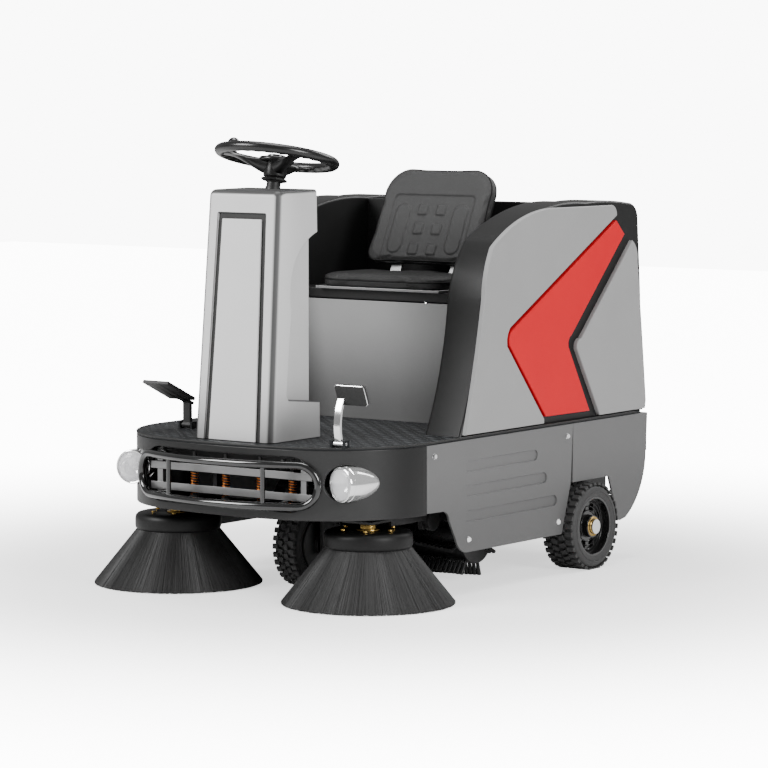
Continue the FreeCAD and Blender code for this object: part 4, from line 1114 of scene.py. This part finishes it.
@dataclass
class Steering:
    """The wheel with its three spokes, the ball knob and the column."""

    rim: float = 0.165
    wide: float = 0.0165
    tall: float = 0.0150
    scallops: int = 30
    spoke_root: float = 0.024
    spoke_end: float = 0.008
    tilt: float = 12.4
    centre: Point = (0.0, -0.480, 1.260)

    def frame(self) -> Matrix:
        """Return the tilted wheel's place."""
        return Matrix.Translation(self.centre) @ Matrix.Rotation(
            -math.radians(self.tilt), 4, "X")

    def build(self) -> None:
        """Make the wheel, its cap, the knob and the column."""
        place = self.frame()
        pieces = [self._ring(place), self._hub(place)]
        pieces += [self._spoke(place, math.radians(angle)) for angle in (90, 210, 330)]
        post = [(0.0, 0.0), (0.0075, 0.0), (0.0075, 0.0140), (0.0050, 0.0155),
                (0.0050, 0.0400), (0.0, 0.0400)]
        pieces.append(lathe("knob_post", post, (-self.rim, 0, 0.004), "Z", 24, place))
        dress(join("steering_wheel_form", pieces), WHEEL, "steering", "wheel_black",
              "steering_wheel")
        cap = [(0.0, 0.0060), (0.0240, 0.0052), (0.0275, 0.0030), (0.0280, 0.0000),
               (0.0280, -0.0025), (0.0, -0.0025)]
        dress(lathe("wheel_cap", cap, (0, 0, 0), "Z", 48, place), KNOB, "steering",
              "wheel_black")
        self._knob(place)
        self._column(place)

    def _ring(self, place: Matrix) -> bpy.types.Object:
        """The rim: a flattened ring with finger scallops under its inner side."""
        points, faces = [], []
        around, across = 360, 28
        for k in range(around):
            angle = TURN * k / around
            wave = 0.5 - 0.5 * math.cos(self.scallops * angle)
            for n in range(across):
                turn = TURN * n / across
                under = max(0.0, math.sin(-turn)) * max(0.0, 0.35 - math.cos(turn))
                swell = 1.0 - 0.16 * wave * under
                radius = self.rim + self.wide * math.cos(turn) * swell
                height = self.tall * math.sin(turn) * swell
                points.append((radius * math.cos(angle), radius * math.sin(angle), height))
        for k in range(around):
            for n in range(across):
                here, there = k * across, (k + 1) % around * across
                after = (n + 1) % across
                faces.append((here + n, there + n, there + after, here + after))
        return shape("wheel_ring", points, faces, place=place)

    def _hub(self, place: Matrix) -> bpy.types.Object:
        """The cylindrical boss between the spokes, under a wide cap plate."""
        boss = [(0.0, -0.0600), (0.0300, -0.0600), (0.0325, -0.0580), (0.0335, -0.0540),
                (0.0335, -0.0180), (0.0360, -0.0165), (0.0490, -0.0150), (0.0510, -0.0125),
                (0.0510, -0.0080), (0.0485, -0.0045), (0.0400, -0.0025), (0.0290, -0.0020),
                (0.0, -0.0020)]
        return lathe("wheel_boss", boss, (0, 0, 0), "Z", 64, place)

    def _spoke(self, place: Matrix, angle: float) -> bpy.types.Object:
        """One deep curved web from the foot of the boss up to the rim."""
        points, faces = [], []
        stations, section = 18, 16
        for k in range(stations):
            share = k / (stations - 1)
            reach = self.spoke_root + (self.rim - self.spoke_end - self.spoke_root) * share
            half = 0.0170 + 0.008 * (2 * share - 1) ** 2
            top = -0.0045 - 0.004 * math.sin(math.pi * share)
            foot = -0.0560 + 0.0460 * ramp(0.38 - share, 1.05)
            for n in range(section):
                turn = TURN * n / section
                lobe = math.copysign(abs(math.cos(turn)) ** 0.7, math.cos(turn))
                rise = math.copysign(abs(math.sin(turn)) ** 0.6, math.sin(turn))
                thin = 1.0 if rise > 0 else 1.0 - 0.35 * abs(rise)
                points.append((reach, half * lobe * thin,
                               (top + foot) / 2 + (top - foot) / 2 * rise))
        for k in range(stations - 1):
            for n in range(section):
                after = (n + 1) % section
                here, there = k * section, (k + 1) * section
                faces.append((here + n, here + after, there + after, there + n))
        faces.append(tuple(range(section)))
        faces.append(tuple((stations - 1) * section + n for n in range(section)))
        return shape("wheel_spoke", points, faces, 60.0,
                     place @ Matrix.Rotation(angle, 4, "Z"))

    def _knob(self, place: Matrix) -> None:
        """A polished ball on a flared neck, free to spin on its post."""
        profile = [(0.0053, 0.0120), (0.0120, 0.0122), (0.0135, 0.0140), (0.0120, 0.0165),
                   (0.0090, 0.0190), (0.0085, 0.0215)]
        for k in range(13):
            angle = math.radians(-58 + 148 * k / 12)
            radius = 0.018
            profile.append((max(0.0, radius * math.cos(angle)), 0.038 + radius * math.sin(angle)))
        profile[-1] = (0.0, profile[-1][1])
        profile += [(0.0, 0.0460), (0.0053, 0.0460)]
        knob = lathe("knob_ball", profile, (-self.rim, 0, 0.0), "Z", 40, place, closed=True)
        dress(knob, KNOB, "knob", "wheel_black", "spinner_knob")

    def _column(self, place: Matrix) -> None:
        """The column tube with its wide collar and the ball of its joint."""
        tube_line = [(0.0, -0.3920), (0.0160, -0.3860), (0.0240, -0.3680), (0.0225, -0.3500),
                     (0.0225, -0.0900), (0.0205, -0.0860), (0.0205, -0.0550), (0.0, -0.0550)]
        column = lathe("column_form", tube_line, (0, 0, 0), "Z", 48, place)
        dress(column, MACHINE, "steering", "machine_black", "steering_shaft")
        flange = [(0.0, -0.0740), (0.0250, -0.0740), (0.0260, -0.0710), (0.0370, -0.0700),
                  (0.0380, -0.0680), (0.0380, -0.0645), (0.0360, -0.0630), (0.0250, -0.0620),
                  (0.0250, -0.0560), (0.0, -0.0560)]
        collar = lathe("column_collar", flange, (0, 0, 0), "Z", 8, place)
        dress(collar, WHEEL, "steering", "machine_black")


# ------------------------------------------------------------------- wheels
@dataclass
class Tyre:
    """A solid tyre with rows of tread blocks, turning about the X axis."""

    name: str
    node: str
    body: str
    centre: Point
    radius: float
    half: float
    bead: float
    blocks: int
    deep: float = 0.0052
    taper: float = 0.86

    def build(self) -> None:
        """Turn the carcass and grow the blocks on it."""
        crown = self.radius - self.deep
        wall = self.half
        profile = [(self.bead, -wall + 0.004), (self.bead + 0.006, -wall + 0.0010),
                   (self.bead + 0.012, -wall), (self.bead + 0.0128, -wall + 0.0012),
                   (self.bead + 0.0160, -wall + 0.0012), (self.bead + 0.0168, -wall),
                   (crown - 0.0120, -wall + 0.0004), (crown - 0.0050, -wall + 0.0030),
                   (crown - 0.0012, -wall + 0.0080), (crown, -wall + 0.0150)]
        profile += [(radius, -along) for radius, along in reversed(profile)]
        carcass = lathe(f"{self.name}_carcass", profile, self.centre, "X", 120, closed=True)
        pieces = [carcass]
        rows = ((-0.72, 0.0, 0.30), (-0.24, 0.5, -0.25), (0.24, 0.0, 0.25), (0.72, 0.5, -0.30))
        for number, (share, phase, skew) in enumerate(rows):
            outer = abs(share) > 0.5
            length = self.half * (0.50 if outer else 0.40)
            row = grow(f"{self.name}_row_{number}", TREES["block_ring"], {
                "Count": self.blocks, "Radius": crown + self.deep / 2 - 0.0012,
                "Offset": share * self.half, "Phase": phase, "Skew": skew if not outer else 0.0,
                "Size": (length, TURN * crown / self.blocks * 0.68, self.deep + 0.0022),
                "Taper": self.taper, "Material": TYRE.material()})
            row.data.transform(Matrix.Translation(self.centre))
            pieces.append(row)
        dress(join(f"{self.name}_form", pieces), TYRE, self.body, "tyre_black", self.node)


@dataclass
class Wheels:
    """The two rear wheels, the driven front wheel and its fork."""

    rear_y: float = 0.430
    rear_z: float = 0.130
    rib_at: float = 0.4840
    rib_radii: Point = (0.0475, 0.0600, 0.0725)

    def build(self) -> None:
        """Make all three wheels."""
        for name, side in SIDES.items():
            body = f"{name}_rear_wheel"
            centre = (side * 0.460, self.rear_y, self.rear_z)
            Tyre(f"{name}_rear_tyre", f"{name}_rear_tyre", body, centre, 0.130, 0.055,
                 0.0915, 34).build()
            form(f"{name}_rear_rim", 0.0014, RIM, body, "rim_black")
            self._hub(name, side, body)
        Tyre("front_tyre", "front_tyre", "front_wheel", (0.0, -0.330, 0.125), 0.125, 0.040,
             0.0815, 32).build()
        form("hub_motor", 0.002, MACHINE, "front_wheel", "machine_black")
        form("front_fork", 0.0015, FRAME, "fork", "frame_steel")

    def _hub(self, name: str, side: int, body: str) -> None:
        """Ribs turned on the rim, a brass ring and a hexagon cap on the axle."""
        centre = (0.0, self.rear_y, self.rear_z)
        nut = [(0.0, side * 0.5135), (0.0150, side * 0.5130), (0.0178, side * 0.5110),
               (0.0186, side * 0.5060), (0.0186, side * 0.5050), (0.0, side * 0.5050)]
        dress(lathe(f"{name}_nut_cap", nut, centre, "X", 6), MACHINE, body, "rim_black")
        rings = []
        for radius in self.rib_radii:
            bead = [(radius + out, side * (self.rib_at + rise)) for out, rise in (
                (-0.0018, -0.0010), (-0.0012, 0.0014), (0.0, 0.0022), (0.0012, 0.0014),
                (0.0018, -0.0010))]
            rings.append(lathe("rib", bead, centre, "X", 64, closed=True))
        dress(join(f"{name}_rim_ribs", rings), RIM, body, "rim_black")
        ring = [(0.0235, side * 0.5050), (0.0240, side * 0.5072), (0.0290, side * 0.5078),
                (0.0300, side * 0.5066), (0.0300, side * 0.5050)]
        dress(lathe(f"{name}_hub_ring", ring, centre, "X", 48, closed=True), BRASS, body,
              "bright_steel")


# ------------------------------------------------------------------ brushes
@dataclass
class SideBrush:
    """One side brush: bristles, rounded cap, brass hub, motor and arm."""

    name: str
    side: int
    x: float = 0.347
    y: float = -0.512
    bolt_circle: float = 0.078

    def build(self) -> None:
        """Make the brush and dress its arm."""
        centre = (self.side * self.x, self.y, 0.0)
        brush, arm = f"{self.name}_brush", f"{self.name}_arm"
        core = [(0.0, 0.1600), (0.1180, 0.1615), (0.1195, 0.1550), (0.1560, 0.1100),
                (0.2420, 0.0040), (0.2390, 0.0035), (0.1000, 0.1480), (0.0, 0.1480)]
        roots = lathe(f"{self.name}_brush_roots", core, centre, "Z", 96)
        dress(roots, ROOTS, brush, "bristle_grey")
        strands = grow(f"{self.name}_brush_strands", TREES["bristles"], {
            "Count": 5600, "Seed": 5 + self.side, "Neck": 0.1215, "Foot": 0.2485,
            "Height": 0.1625, "Thickness": 0.00072, "Depth": 0.0035, "Stray": 0.006,
            "Material": BRISTLE.material()})
        strands.data.transform(Matrix.Translation(centre))
        dress(strands, BRISTLE, brush, "bristle_grey", f"{self.name}_brush_bristles")
        cap = [(0.0085, 0.1590), (0.1140, 0.1590), (0.1220, 0.1610), (0.1262, 0.1660),
               (0.1275, 0.1730), (0.1275, 0.1930), (0.1255, 0.2020), (0.1195, 0.2080),
               (0.1120, 0.2100), (0.0400, 0.2100), (0.0380, 0.2090), (0.0085, 0.2090)]
        disc = lathe(f"{self.name}_cap_form", cap, centre, "Z", 96, closed=True)
        dress(disc, CAP, brush, "wheel_black", f"{self.name}_brush_cap")
        hub = [(0.0085, 0.2060), (0.0330, 0.2060), (0.0340, 0.2105), (0.0330, 0.2130),
               (0.0240, 0.2140), (0.0235, 0.2280), (0.0225, 0.2298), (0.0085, 0.2298)]
        dress(lathe(f"{self.name}_brush_hub", hub, centre, "Z", 48, closed=True), BRASS, brush,
              "bright_steel")
        bolts = []
        for k in range(6):
            angle = TURN * k / 6
            bolts.append(Stamp((centre[0] + self.bolt_circle * math.cos(angle),
                                centre[1] + self.bolt_circle * math.sin(angle), 0.2118),
                               (0.0, 0.0, angle), (0.013, 0.013, 0.0045)))
        dress(stamped(f"{self.name}_cap_bolts", bolts, 6, 0.45, 0.5, BRASS), BRASS, brush,
              "bright_steel")
        form(f"{self.name}_brush_arm", 0.0012, FRAME, arm, "frame_steel")
        form(f"{self.name}_brush_motor", 0.002, MACHINE, arm, "machine_black")


@dataclass
class MainBrush:
    """The roller brush with its twisted rows of tufts."""

    y: float = 0.070
    z: float = 0.128
    half: float = 0.318
    root: float = 0.0834
    twist: float = 0.55
    rows: int = 8
    tufts: int = 44

    def build(self) -> None:
        """Dress the core and arms and grow the tufts."""
        paint("main_brush_arms", FRAME)
        form("main_brush_core", 0.002, WHEEL, "main_brush", "wheel_black")
        stamps = []
        random.seed(11)
        for row in range(self.rows):
            for k in range(self.tufts):
                share = (k + 0.5) / self.tufts
                angle = TURN * row / self.rows + self.twist * (share - 0.5)
                stamps.append(Stamp(
                    ((2 * share - 1) * self.half, self.y - self.root * math.sin(angle),
                     self.z + self.root * math.cos(angle)),
                    (angle, random.uniform(-0.05, 0.05), 0.0), (0.013, 0.010, 0.0445)))
        tufts = stamped("main_brush_tufts", stamps, 7, 0.62, 0.40, BRISTLE)
        dress(tufts, BRISTLE, "main_brush", "bristle_grey", "main_brush_bristles")


# ------------------------------------------------------------------- pedals
@dataclass
class Pedals:
    """The hanging accelerator pad on its lever, and the slanted brake plate."""

    pad_corner: Point = (0.343, -0.641, 0.580)
    pad_lean: float = 22.0

    def build(self) -> None:
        """Make both pedals."""
        form("accelerator_lever", 0.0014, CHROME, "accelerator", "bright_steel")
        lean = Matrix.Rotation(math.radians(self.pad_lean), 4, "X")
        place = Matrix.Translation(self.pad_corner) @ lean
        outline = round_box(0.0490, -0.0035, 0.0555, (0.007, 0.007), 5)
        block = slab("pad_block", outline, -0.0016, 0.0130, True)
        block.data.transform(place @ Matrix.Translation((0.0450, 0.0, 0.0)))
        soft = block.modifiers.new("rounding", "BEVEL")
        soft.width = 0.0016
        soft.segments = 3
        soft.limit_method = "ANGLE"
        soft.angle_limit = math.radians(50)
        smooth(settle(block))
        dress(block, RUBBER, "accelerator", "rubber_black", "accelerator_pad")
        rim = round_box(0.0492, -0.0037, 0.0557, (0.007, 0.007), 6)
        edge = tube("pad_edge", [place @ Vector((0.0450 + x, 0.0030, y)) for x, y in rim],
                    0.0016, loop=True, steps=8)
        dress(edge, CHROME, "accelerator", "bright_steel")
        ribs = []
        for k in range(9):
            spot = place @ Vector((0.0445, 0.0136, 0.0005 + 0.0063 * k))
            ribs.append(Stamp(tuple(spot), (math.radians(self.pad_lean) - math.pi / 2, 0.0, 0.0),
                              (0.120, 0.0045, 0.0024)))
        dress(stamped("pad_ribs", ribs, 4, 0.40, 0.5, RUBBER), RUBBER, "accelerator",
              "rubber_black")
        form("brake_pedal", 0.0016, FRAME, "brake", "frame_steel")


# --------------------------------------------------------------------- seat
CLOTH_FRAMES = 20
FILLED_CLOTH = {"quality": 5, "mass": 0.4, "tension_stiffness": 18.0,
                "compression_stiffness": 18.0, "bending_stiffness": 0.6,
                "use_pressure": True}


def inflate(piece: bpy.types.Object, voxel: float, pressure: float,
            cap: float) -> bpy.types.Object:
    """Remesh a pad evenly and blow it up like filled cloth.

    Args:
        piece: The pad's block, a little smaller than the pad.
        voxel: The remesh size.
        pressure: The cloth's inner pressure.
        cap: The furthest a point may move.

    Returns:
        The same piece, with plain mesh.
    """
    even = piece.modifiers.new("even", "REMESH")
    even.mode = "VOXEL"
    even.voxel_size = voxel
    settle(piece)
    soft = piece.modifiers.new("soft_corners", "SMOOTH")
    soft.iterations = 3
    settle(piece)
    before = [corner.co.copy() for corner in piece.data.vertices]
    cloth = piece.modifiers.new("filling", "CLOTH")
    for key, value in {**FILLED_CLOTH, "uniform_pressure_force": pressure}.items():
        setattr(cloth.settings, key, value)
    cloth.settings.effector_weights.gravity = 0.0
    cloth.point_cache.frame_start = 1
    cloth.point_cache.frame_end = CLOTH_FRAMES
    scene = bpy.context.scene
    for number in range(1, CLOTH_FRAMES + 1):
        scene.frame_set(number)
    settle(piece)
    scene.frame_set(1)
    for corner, start in zip(piece.data.vertices, before):
        step = corner.co - start
        if step.length > cap:
            corner.co = start + step * (cap / step.length)
    return piece


def refined(piece: bpy.types.Object) -> bpy.types.Object:
    """Subdivide a pad once, so that it takes fine sewing detail."""
    finer = piece.modifiers.new("finer", "SUBSURF")
    finer.levels = 1
    finer.render_levels = 1
    settle(piece)
    return smooth(piece, 60.0)


def slab(name: str, outline: Sequence[tuple[float, float]], low: float, high: float,
         upright: bool = False) -> bpy.types.Object:
    """Stand a flat outline up into a block, along Z, or along Y if upright."""
    count = len(outline)
    points = []
    for level in (low, high):
        points += [(x, level, y) if upright else (x, y, level) for x, y in outline]
    faces = [tuple(range(count)), tuple(range(count, 2 * count))]
    faces += [(k, (k + 1) % count, count + (k + 1) % count, count + k) for k in range(count)]
    return shape(name, points, faces)


def round_box(half: float, low: float, high: float, corners: tuple[float, float],
              steps: int = 8, top_half: float | None = None) -> list[tuple[float, float]]:
    """Outline of a rounded box, widest at its foot.

    Args:
        half: Half its width at the foot.
        low: Its lowest coordinate.
        high: Its highest coordinate.
        corners: Radii of the foot's and the top's corners.
        steps: Points round each corner.
        top_half: Half its width at the top, or None for the foot's.

    Returns:
        The outline, anticlockwise from the right foot corner.
    """
    upper = half if top_half is None else top_half
    spots = []
    for start, wide, level, radius in (
            (-90, half, low, corners[0]), (0, upper, high, corners[1]),
            (90, -upper, high, corners[1]), (180, -half, low, corners[0])):
        middle = (wide - math.copysign(radius, wide),
                  level + (radius if level == low else -radius))
        for k in range(steps + 1):
            angle = math.radians(start + 90 * k / steps)
            spots.append((middle[0] + radius * math.cos(angle),
                          middle[1] + radius * math.sin(angle)))
    return spots


def gap_to(x: float, y: float, half_x: float, half_y: float, corner: float) -> float:
    """Return the distance to a rounded rectangle's edge, negative inside."""
    across, up = abs(x) - half_x + corner, abs(y) - half_y + corner
    outside = math.hypot(max(across, 0.0), max(up, 0.0))
    return outside + min(max(across, up), 0.0) - corner


def ramp(distance: float, soft: float) -> float:
    """Return 1 well inside an edge, 0 well outside, and a smooth step between."""
    share = min(1.0, max(0.0, 0.5 - distance / soft))
    return share * share * (3 - 2 * share)


@dataclass
class Seat:
    """The tipping seat: pan, plate, cushion and embossed backrest."""

    cushion_half: float = 0.2215
    cushion_depth: float = 0.2965
    cushion_low: float = 0.8575
    cushion_high: float = 0.8905
    back_origin: Point = (0.0, 0.223, 0.925)
    back_lean: float = 25.3
    back_tall: float = 0.318
    back_thick: float = 0.045
    voxel: float = 0.0045
    pressure: float = 3.0
    piping: float = 0.0026

    def build(self) -> None:
        """Make every piece of the seat."""
        form("seat_base", 0.0028, FENDER, "seat", "fender_dark")
        form("seat_plate", 0.0014, SILVER, "seat", "seat_silver")
        self._cushion()
        self._backrest()

    def _cushion(self) -> None:
        """The cushion: crowned by cloth simulation, with a sewn edge and piping."""
        outline = round_box(self.cushion_half, 0.004, self.cushion_depth, (0.055, 0.05), 10)
        notched = []
        for x, y in outline:
            notched.append((x, y))
            if abs(x - (self.cushion_half - 0.05)) < 1e-6 and y > 0.29:
                for side in (RIGHT, LEFT):
                    near, far = (0.136, 0.084) if side == RIGHT else (0.084, 0.136)
                    notched += [(side * near, y), (side * near, 0.232),
                                (side * far, 0.232), (side * far, y)]
        pad = slab("seat_cushion_pad", notched, self.cushion_low, self.cushion_high)
        inflate(pad, self.voxel, self.pressure, 0.0065)
        refined(pad)
        for corner in pad.data.vertices:
            spot = corner.co
            spot.z = min(max(spot.z, 0.8572), 0.8975)
            inner = gap_to(spot.x, spot.y - 0.150, 0.175, 0.104, 0.04)
            if spot.z > 0.875:
                spot.z -= 0.0016 * math.exp(-((inner / 0.0022) ** 2))
        dress(pad, VINYL, "seat", "vinyl_black", "seat_cushion")
        rim = self._wrap(pad, round_box(self.cushion_half, 0.004, 0.228, (0.055, 0.01), 12),
                         0.8785, Matrix.Identity(4))
        dress(tube("cushion_piping", rim, self.piping, loop=True, steps=10), PIPING, "seat",
              "vinyl_black")

    def _wrap(self, pad: bpy.types.Object, outline: Sequence[tuple[float, float]],
              level: float, place: Matrix) -> list[Vector]:
        """Lay a loop on a pad's side.

        Args:
            pad: The finished pad.
            outline: The loop's outline in the pad's own plane.
            level: Its height over that plane.
            place: The pad's place.

        Returns:
            The loop's points, on the pad's skin.
        """
        work = bmesh.new()
        work.from_mesh(pad.data)
        tree = BVHTree.FromBMesh(work)
        work.free()
        dense = []
        count = len(outline)
        for k in range(count):
            here, there = Vector(outline[k]), Vector(outline[(k + 1) % count])
            pieces = max(1, round((there - here).length / 0.008))
            dense += [here.lerp(there, n / pieces) for n in range(pieces)]
        loop = []
        for spot in dense:
            if place == Matrix.Identity(4):
                target = Vector((spot.x, spot.y, level))
            else:
                target = place @ Vector((spot.x, level, spot.y))
            near = tree.find_nearest(target, 0.03)
            loop.append(near[0] if near[0] is not None else target)
        for _ in range(2):
            loop = [(loop[k - 1] + loop[k] * 2 + loop[(k + 1) % len(loop)]) / 4
                    for k in range(len(loop))]
        return loop

    def _backrest(self) -> None:
        """The backrest: filled by cloth simulation, then embossed on its front."""
        outline = round_box(0.2035, 0.003, self.back_tall - 0.004, (0.034, 0.085), 10, 0.2000)
        pad = slab("seat_backrest_pad", outline, 0.0050, self.back_thick - 0.004, True)
        inflate(pad, self.voxel, self.pressure, 0.0060)
        refined(pad)
        for corner in pad.data.vertices:
            spot = corner.co
            spot.y = min(max(spot.y, -0.004), self.back_thick + 0.002)
            if spot.y < 0.020:
                spot.y += self._emboss(spot.x, spot.z)
        place = Matrix.Translation(self.back_origin) @ Matrix.Rotation(
            -math.radians(self.back_lean), 4, "X")
        pad.data.transform(place)
        dress(pad, VINYL, "seat", "vinyl_black", "seat_backrest")
        for name, level in (("front", 0.0085), ("rear", 0.0380)):
            loop = self._wrap(pad, outline, level, place)
            dress(tube(f"back_{name}_piping", loop, self.piping, loop=True, steps=10), PIPING,
                  "seat", "vinyl_black")

    def _emboss(self, x: float, up: float) -> float:
        """Return how far the front sinks here: a panel, two lozenges, six squares."""
        sink = 0.0045 * ramp(gap_to(x, up - 0.1135, 0.150, 0.1095, 0.016), 0.006)
        lozenge = gap_to(abs(x) - 0.107, up - 0.111, 0.026, 0.081, 0.026)
        sink -= 0.0042 * ramp(lozenge, 0.006)
        for level in (0.044, 0.111, 0.175):
            square = gap_to(abs(x) - 0.034, up - level, 0.017, 0.018, 0.006)
            sink -= 0.0046 * ramp(square, 0.006)
        return sink


# -------------------------------------------------------------------- stage
LIGHTS = {
    "key": ((-3.2, -5.4, 4.2), 3.0, 560),
    "fill": ((6.4, -1.6, 3.0), 2.6, 360),
    "rear": ((1.5, 5.5, 4.6), 3.4, 200),
    "top": ((0.0, 0.0, 5.6), 3.0, 190),
}


@dataclass
class Stage:
    """The floor, the soft lights and the camera."""

    camera: Point = (6.111, -8.431, 1.529)
    heading: float = 35.787
    pitch: float = 5.271
    lens: float = 163.0
    surround: float = 0.34
    backdrop: float = 12.0
    floor_half: float = 14.0
    aim: Point = (0.0, 0.0, 0.55)

    def build(self) -> None:
        """Make the floor, the world, the lights and the camera."""
        far = self.floor_half
        floor = shape("floor", [(-far, -far, 0), (far, -far, 0), (far, far, 0), (-far, far, 0)],
                      [(0, 1, 2, 3)])
        floor.data.materials.append(Finish("pale_floor", grey(238), 0.75, scale=3,
                                           mottle=0.01, relief=Relief.SMOOTH).material())
        world = bpy.data.worlds.new("studio")
        world.use_nodes = True
        around = world.node_tree.nodes["Background"]
        around.inputs["Color"].default_value = (1, 1, 1, 1)
        around.inputs["Strength"].default_value = self.surround
        wiring = Wiring(world.node_tree)
        behind = wiring.add("ShaderNodeBackground", Strength=self.backdrop)
        ray = wiring.add("ShaderNodeLightPath")
        either = wiring.add("ShaderNodeMixShader")
        for number, source in enumerate((ray.outputs["Is Camera Ray"], around.outputs[0],
                                         behind.outputs[0])):
            wiring.put(either.inputs[number], source)
        wiring.put(world.node_tree.nodes["World Output"].inputs["Surface"], either.outputs[0])
        self._glow(floor.data.materials[0])
        bpy.context.scene.world = world
        for name, (place, size, power) in LIGHTS.items():
            self._light(name, place, size, power)
        data = bpy.data.cameras.new("view")
        data.lens = self.lens
        data.sensor_width = 36.0
        data.clip_end = 60.0
        view = bpy.data.objects.new("view", data)
        bpy.context.scene.collection.objects.link(view)
        yaw, down = math.radians(self.heading), math.radians(self.pitch)
        ahead = Vector((-math.sin(yaw) * math.cos(down), math.cos(yaw) * math.cos(down),
                        -math.sin(down)))
        view.location = self.camera
        view.rotation_euler = ahead.to_track_quat("-Z", "Y").to_euler()
        bpy.context.scene.camera = view

    def _glow(self, made: bpy.types.Material) -> None:
        """Lift the floor to the backdrop's white, as the camera sees it.

        Args:
            made: The floor's material.
        """
        wiring = Wiring(made.node_tree)
        shader = made.node_tree.nodes["Principled BSDF"]
        shader.inputs["Emission Color"].default_value = (1, 1, 1, 1)
        place = wiring.add("ShaderNodeTexCoord").outputs["Object"]
        reach = wiring.add("ShaderNodeVectorMath", {"operation": "LENGTH"}, n0=place)
        rise = wiring.eased(reach.outputs["Value"], (0.9, 3.4, 1.1, self.backdrop))
        ray = wiring.add("ShaderNodeLightPath")
        wiring.put(shader.inputs["Emission Strength"],
                   wiring.math("MULTIPLY", ray.outputs["Is Camera Ray"], rise))

    def _light(self, name: str, place: Point, size: float, power: float) -> None:
        """Add one soft square light aimed at the machine."""
        data = bpy.data.lights.new(name, "AREA")
        data.shape = "SQUARE"
        data.size = size
        data.energy = power
        lamp = bpy.data.objects.new(name, data)
        bpy.context.scene.collection.objects.link(lamp)
        lamp.location = place
        toward = Vector(self.aim) - Vector(place)
        lamp.rotation_euler = toward.to_track_quat("-Z", "Y").to_euler()


def main() -> None:
    """Build the stage, then each sub-assembly in order."""
    make_trees()
    Stage().build()
    assemblies = [Nose(), Chassis(), Body(), Tower(), Steering(), Wheels()]
    assemblies += [SideBrush(name, side) for name, side in SIDES.items()]
    assemblies += [MainBrush(), Pedals(), Seat()]
    for assembly in assemblies:
        log.info("building %s", type(assembly).__name__)
        assembly.build()
    paint("stub_axles", CHROME)


if __name__ == "__main__":
    main()
